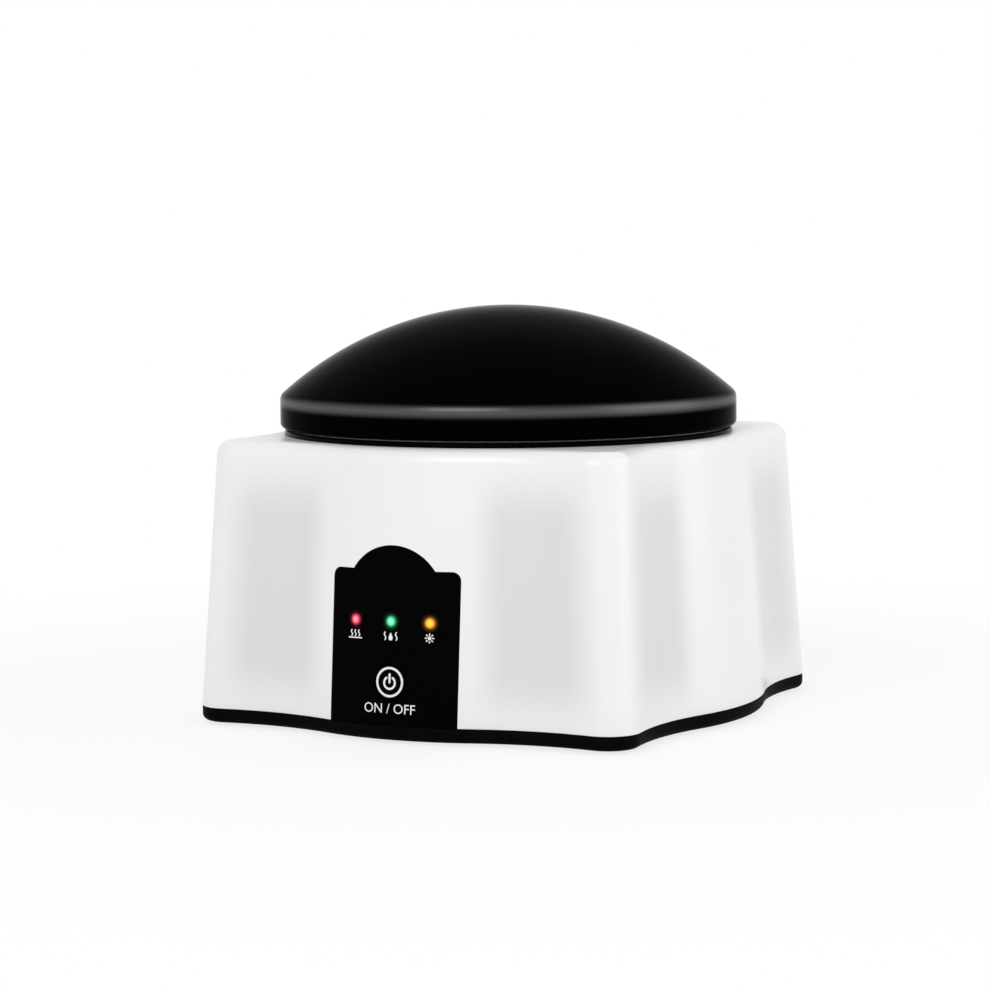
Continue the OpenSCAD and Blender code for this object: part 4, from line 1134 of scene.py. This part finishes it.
lid = {
    "r": 80.0, "inR": 77.8, "low": 99.6, "wall": 2.2, "shoulder": 3.5, "edge": 1.8,
    "domeR": 119.0, "domeZ": 22.7,
    "skirtR": 77.65, "skirtIn": 76.05, "skirtZ": 100.6, "linerT": 1.6, "linerGap": 3.0, "sealZ": 99.1,
}


def makeLid(v):
    s, e = v["shoulder"], v["edge"]
    x, reach = v["r"] - s, v["domeR"] - s
    z = v["domeZ"] + sqrt(reach ** 2 - x * x)
    turn = degrees(atan2(z - v["domeZ"], x))
    inner = v["domeR"] - v["wall"]
    dome = corner(v["inR"], v["low"], 0.3, 180, 270, 3) + corner(v["r"], v["low"], e, -90, 0, 10)
    dome += [(v["r"], h) for h in steps(v["low"] + e, z, 4)[1:-1]]
    dome += arc(v["r"] - s, z, s, 0, turn, 14)
    dome += arc(0, v["domeZ"], v["domeR"], turn, 90, 60)[1:]
    dome += arc(0, v["domeZ"], inner, 90, degrees(acos(v["inR"] / inner)), 40)
    shape = place("lidDome", turned(dome, 288))
    hand(shape, "lid", "black_gloss", ["lid_dome"], finish=finishes["lid_black"])
    outer = inner - v["linerGap"]
    under = outer - v["linerT"]
    liner = [(v["skirtIn"], v["skirtZ"]), (v["skirtR"], v["skirtZ"])]
    liner += arc(0, v["domeZ"], outer, degrees(acos(v["skirtR"] / outer)), 90, 40)
    liner += arc(0, v["domeZ"], under, 90, degrees(acos(v["skirtIn"] / under)), 40)
    hand(place("lidLiner", turned(liner, 192)), "lid", "dark_plastic", ["lid_liner"],
         finish=darkPlastic("linerGrey", (0.035, 0.035, 0.037), 0.42, 0.35))
    r0, r1, z = v["skirtIn"], v["skirtR"] - 0.4, v["sealZ"] + 0.5
    seal = [(r0, v["skirtZ"]), (r0, z)] + arc((r0 + r1) / 2, z, (r1 - r0) / 2, 180, 360, 8)[1:-1]
    seal += [(r1, z), (r1, v["skirtZ"])]
    hand(place("lidSeal", turned(seal, 192)), "lid", "silicone_grey", ["lid_seal"])


makeLid(lid)
print("lid: dome, liner and seal")

feet = {"r": 6.5, "top": 2.0, "edge": 0.5}


def makeFeet(v):
    e = v["edge"]
    foot = [(0, 0.35), (1.6, 0.35), (1.9, 0), (3.2, 0), (3.4, 0.3), (4.0, 0.3), (4.2, 0), (v["r"] - e, 0)]
    foot += corner(v["r"], 0, e, -90, 0, 5)[1:] + [(v["r"], v["top"]), (0, v["top"])]
    piece("rubberFeet", [turned(foot, 64, at) for at in atCorners(tray["footIn"])], "housing", "rubber_black",
          ["rubber_feet"])


makeFeet(feet)

# in mm; the head is a low cone on a plain disc, and the shank sits a little inside the thread
screwSizes = {
    "large": {"Head radius": 3.0, "Head height": 2.0, "Shank radius": 1.5, "Recess": 3.4},
    "small": {"Head radius": 1.9, "Head height": 1.3, "Shank radius": 1.0, "Recess": 2.3},
    "washer": {"Head radius": 4.5, "Head height": 1.5, "Shank radius": 1.5, "Recess": 3.4},
}


def screwTree():
    # pan-head screws with a cross recess and a thread, one on each point of the given mesh
    g = Growth("crossScrews", {"Spots": "Geometry", "Head radius": "Float", "Head height": "Float",
                               "Shank radius": "Float", "Recess": "Float", "Length": "Float"})
    spots, headR, headH, shankR, recess, length, _ = g.given
    crown = g.add("GeometryNodeMeshCone", {"Vertices": 32, "Side Segments": 1, "Radius Top": headR,
                                           "Radius Bottom": headR * 0.74, "Depth": headH * 0.4})
    rest = g.move(g.cylinder(32, headR, headH * 0.62), g.point(0, 0, headH * 0.69))
    shank = g.move(g.cylinder(16, shankR * 0.88, length), g.point(0, 0, headH + length * 0.49))
    arms = [g.move(g.add("GeometryNodeMeshCube", {"Size": size}), g.point(0, 0, headH * 0.1))
            for size in (g.point(recess, recess * 0.24, headH), g.point(recess * 0.24, recess, headH))]
    head = g.boolean("DIFFERENCE", arms)
    whole = g.boolean("UNION", [crown, rest, shank])
    g.tree.links.new(whole.socket, head.socket.node.inputs["Mesh 1"])
    coil = g.add("GeometryNodeCurveSpiral", {"Resolution": 12, "Rotations": length / (shankR * 0.62),
                                             "Start Radius": shankR * 0.88, "End Radius": shankR * 0.84,
                                             "Height": length * 0.94})
    ridge = g.add("GeometryNodeCurvePrimitiveCircle", {"Resolution": 4, "Radius": shankR * 0.12})
    thread = g.add("GeometryNodeCurveToMesh", {"Curve": coil, "Profile Curve": ridge, "Fill Caps": True})
    thread = g.move(thread, g.point(0, 0, headH * 1.02))
    return g.done(g.onPoints(spots, g.gather("GeometryNodeJoinGeometry", [thread, head])))


crossScrews = screwTree()


def screws(name, node, size, length, spots, lay=Matrix.Identity(4)):
    # spots lie in a frame where the screws point up; lay turns that frame into the model's
    sizes = {key: value * mm for key, value in screwSizes[size].items()}
    sizes["Length"], sizes["Finish"] = length * mm, finishes["steel"]
    mesh = grown(name, crossScrews, sizes, asMesh(name, spots, []))
    mesh.transform(lay)
    hand(place(name, mesh), "housing", "steel", [node], 30)


def level(spots, z):
    return [(x, y, z) for x, y in spots]


def makeScrews():
    screws("baseScrews", "base_screws", "large", 15.2, level(atCorners(shell["postIn"]), 2.2))
    screws("collarScrews", "collar_screws", "washer", 5.0, level(onRing(shell["bossR"]), 90.9))
    screws("clampScrews", "clamp_screws", "large", 6.5, level(onRing(well["postAt"]), 40.4))
    screws("thermostatScrews", "thermostat_screws", "small", 5.0, level([(-12, 0), (12, 0)], 41.3))
    # the shield's screws point down
    down = [(x, -y, -28.1) for x, y in onRing(tray["shieldR"])]
    screws("shieldScrews", "shield_screws", "small", 5.0, down, Matrix.Diagonal((1, -1, -1, 1)))
    # the board's screws lie along the panel's slope and point out through it
    slope = Matrix.Translation(Vector(inFront(seamZ, 0, 0, 0)) * mm) @ Matrix.Rotation(pi / 2 - draft, 4, "X")
    behind = -panel["boardBack"] - screwSizes["small"]["Head height"]
    spots = [(x, up, behind) for x in (-panel["boardX"], panel["boardX"]) for up in panel["boardUp"]]
    screws("boardScrews", "board_screws", "small", 5.0, spots, slope)


makeScrews()
print("fasteners: feet and screws")

def makeInlet(edge):
    # the CAD's own socket, merged, with its edges rounded
    thing = place("inletSocket", nodes["power_inlet"].data.copy())
    closeUp(thing.data, 30)
    work = bmesh.new()
    work.from_mesh(thing.data)
    bmesh.ops.dissolve_limit(work, angle_limit=radians(1), verts=work.verts, edges=work.edges)
    work.to_mesh(thing.data)
    work.free()
    soften(thing, edge, 2, 50)
    settle(thing)
    hand(thing, "housing", "black_base", ["power_inlet"], 34, satinBlack("inletBlack"))


makeInlet(0.3)
print("back: power socket")

# CAD nodes that stay get a finish of their own
slotOf = {part["node"]: part["material_slot"] for part in frame["record"]["subparts"]}
for name, node in nodes.items():
    if not node.hide_render:
        node.data.materials.clear()
        node.data.materials.append(finishes[slotOf[name]])
print("kept CAD nodes:", sorted(n for n in nodes if not nodes[n].hide_render))

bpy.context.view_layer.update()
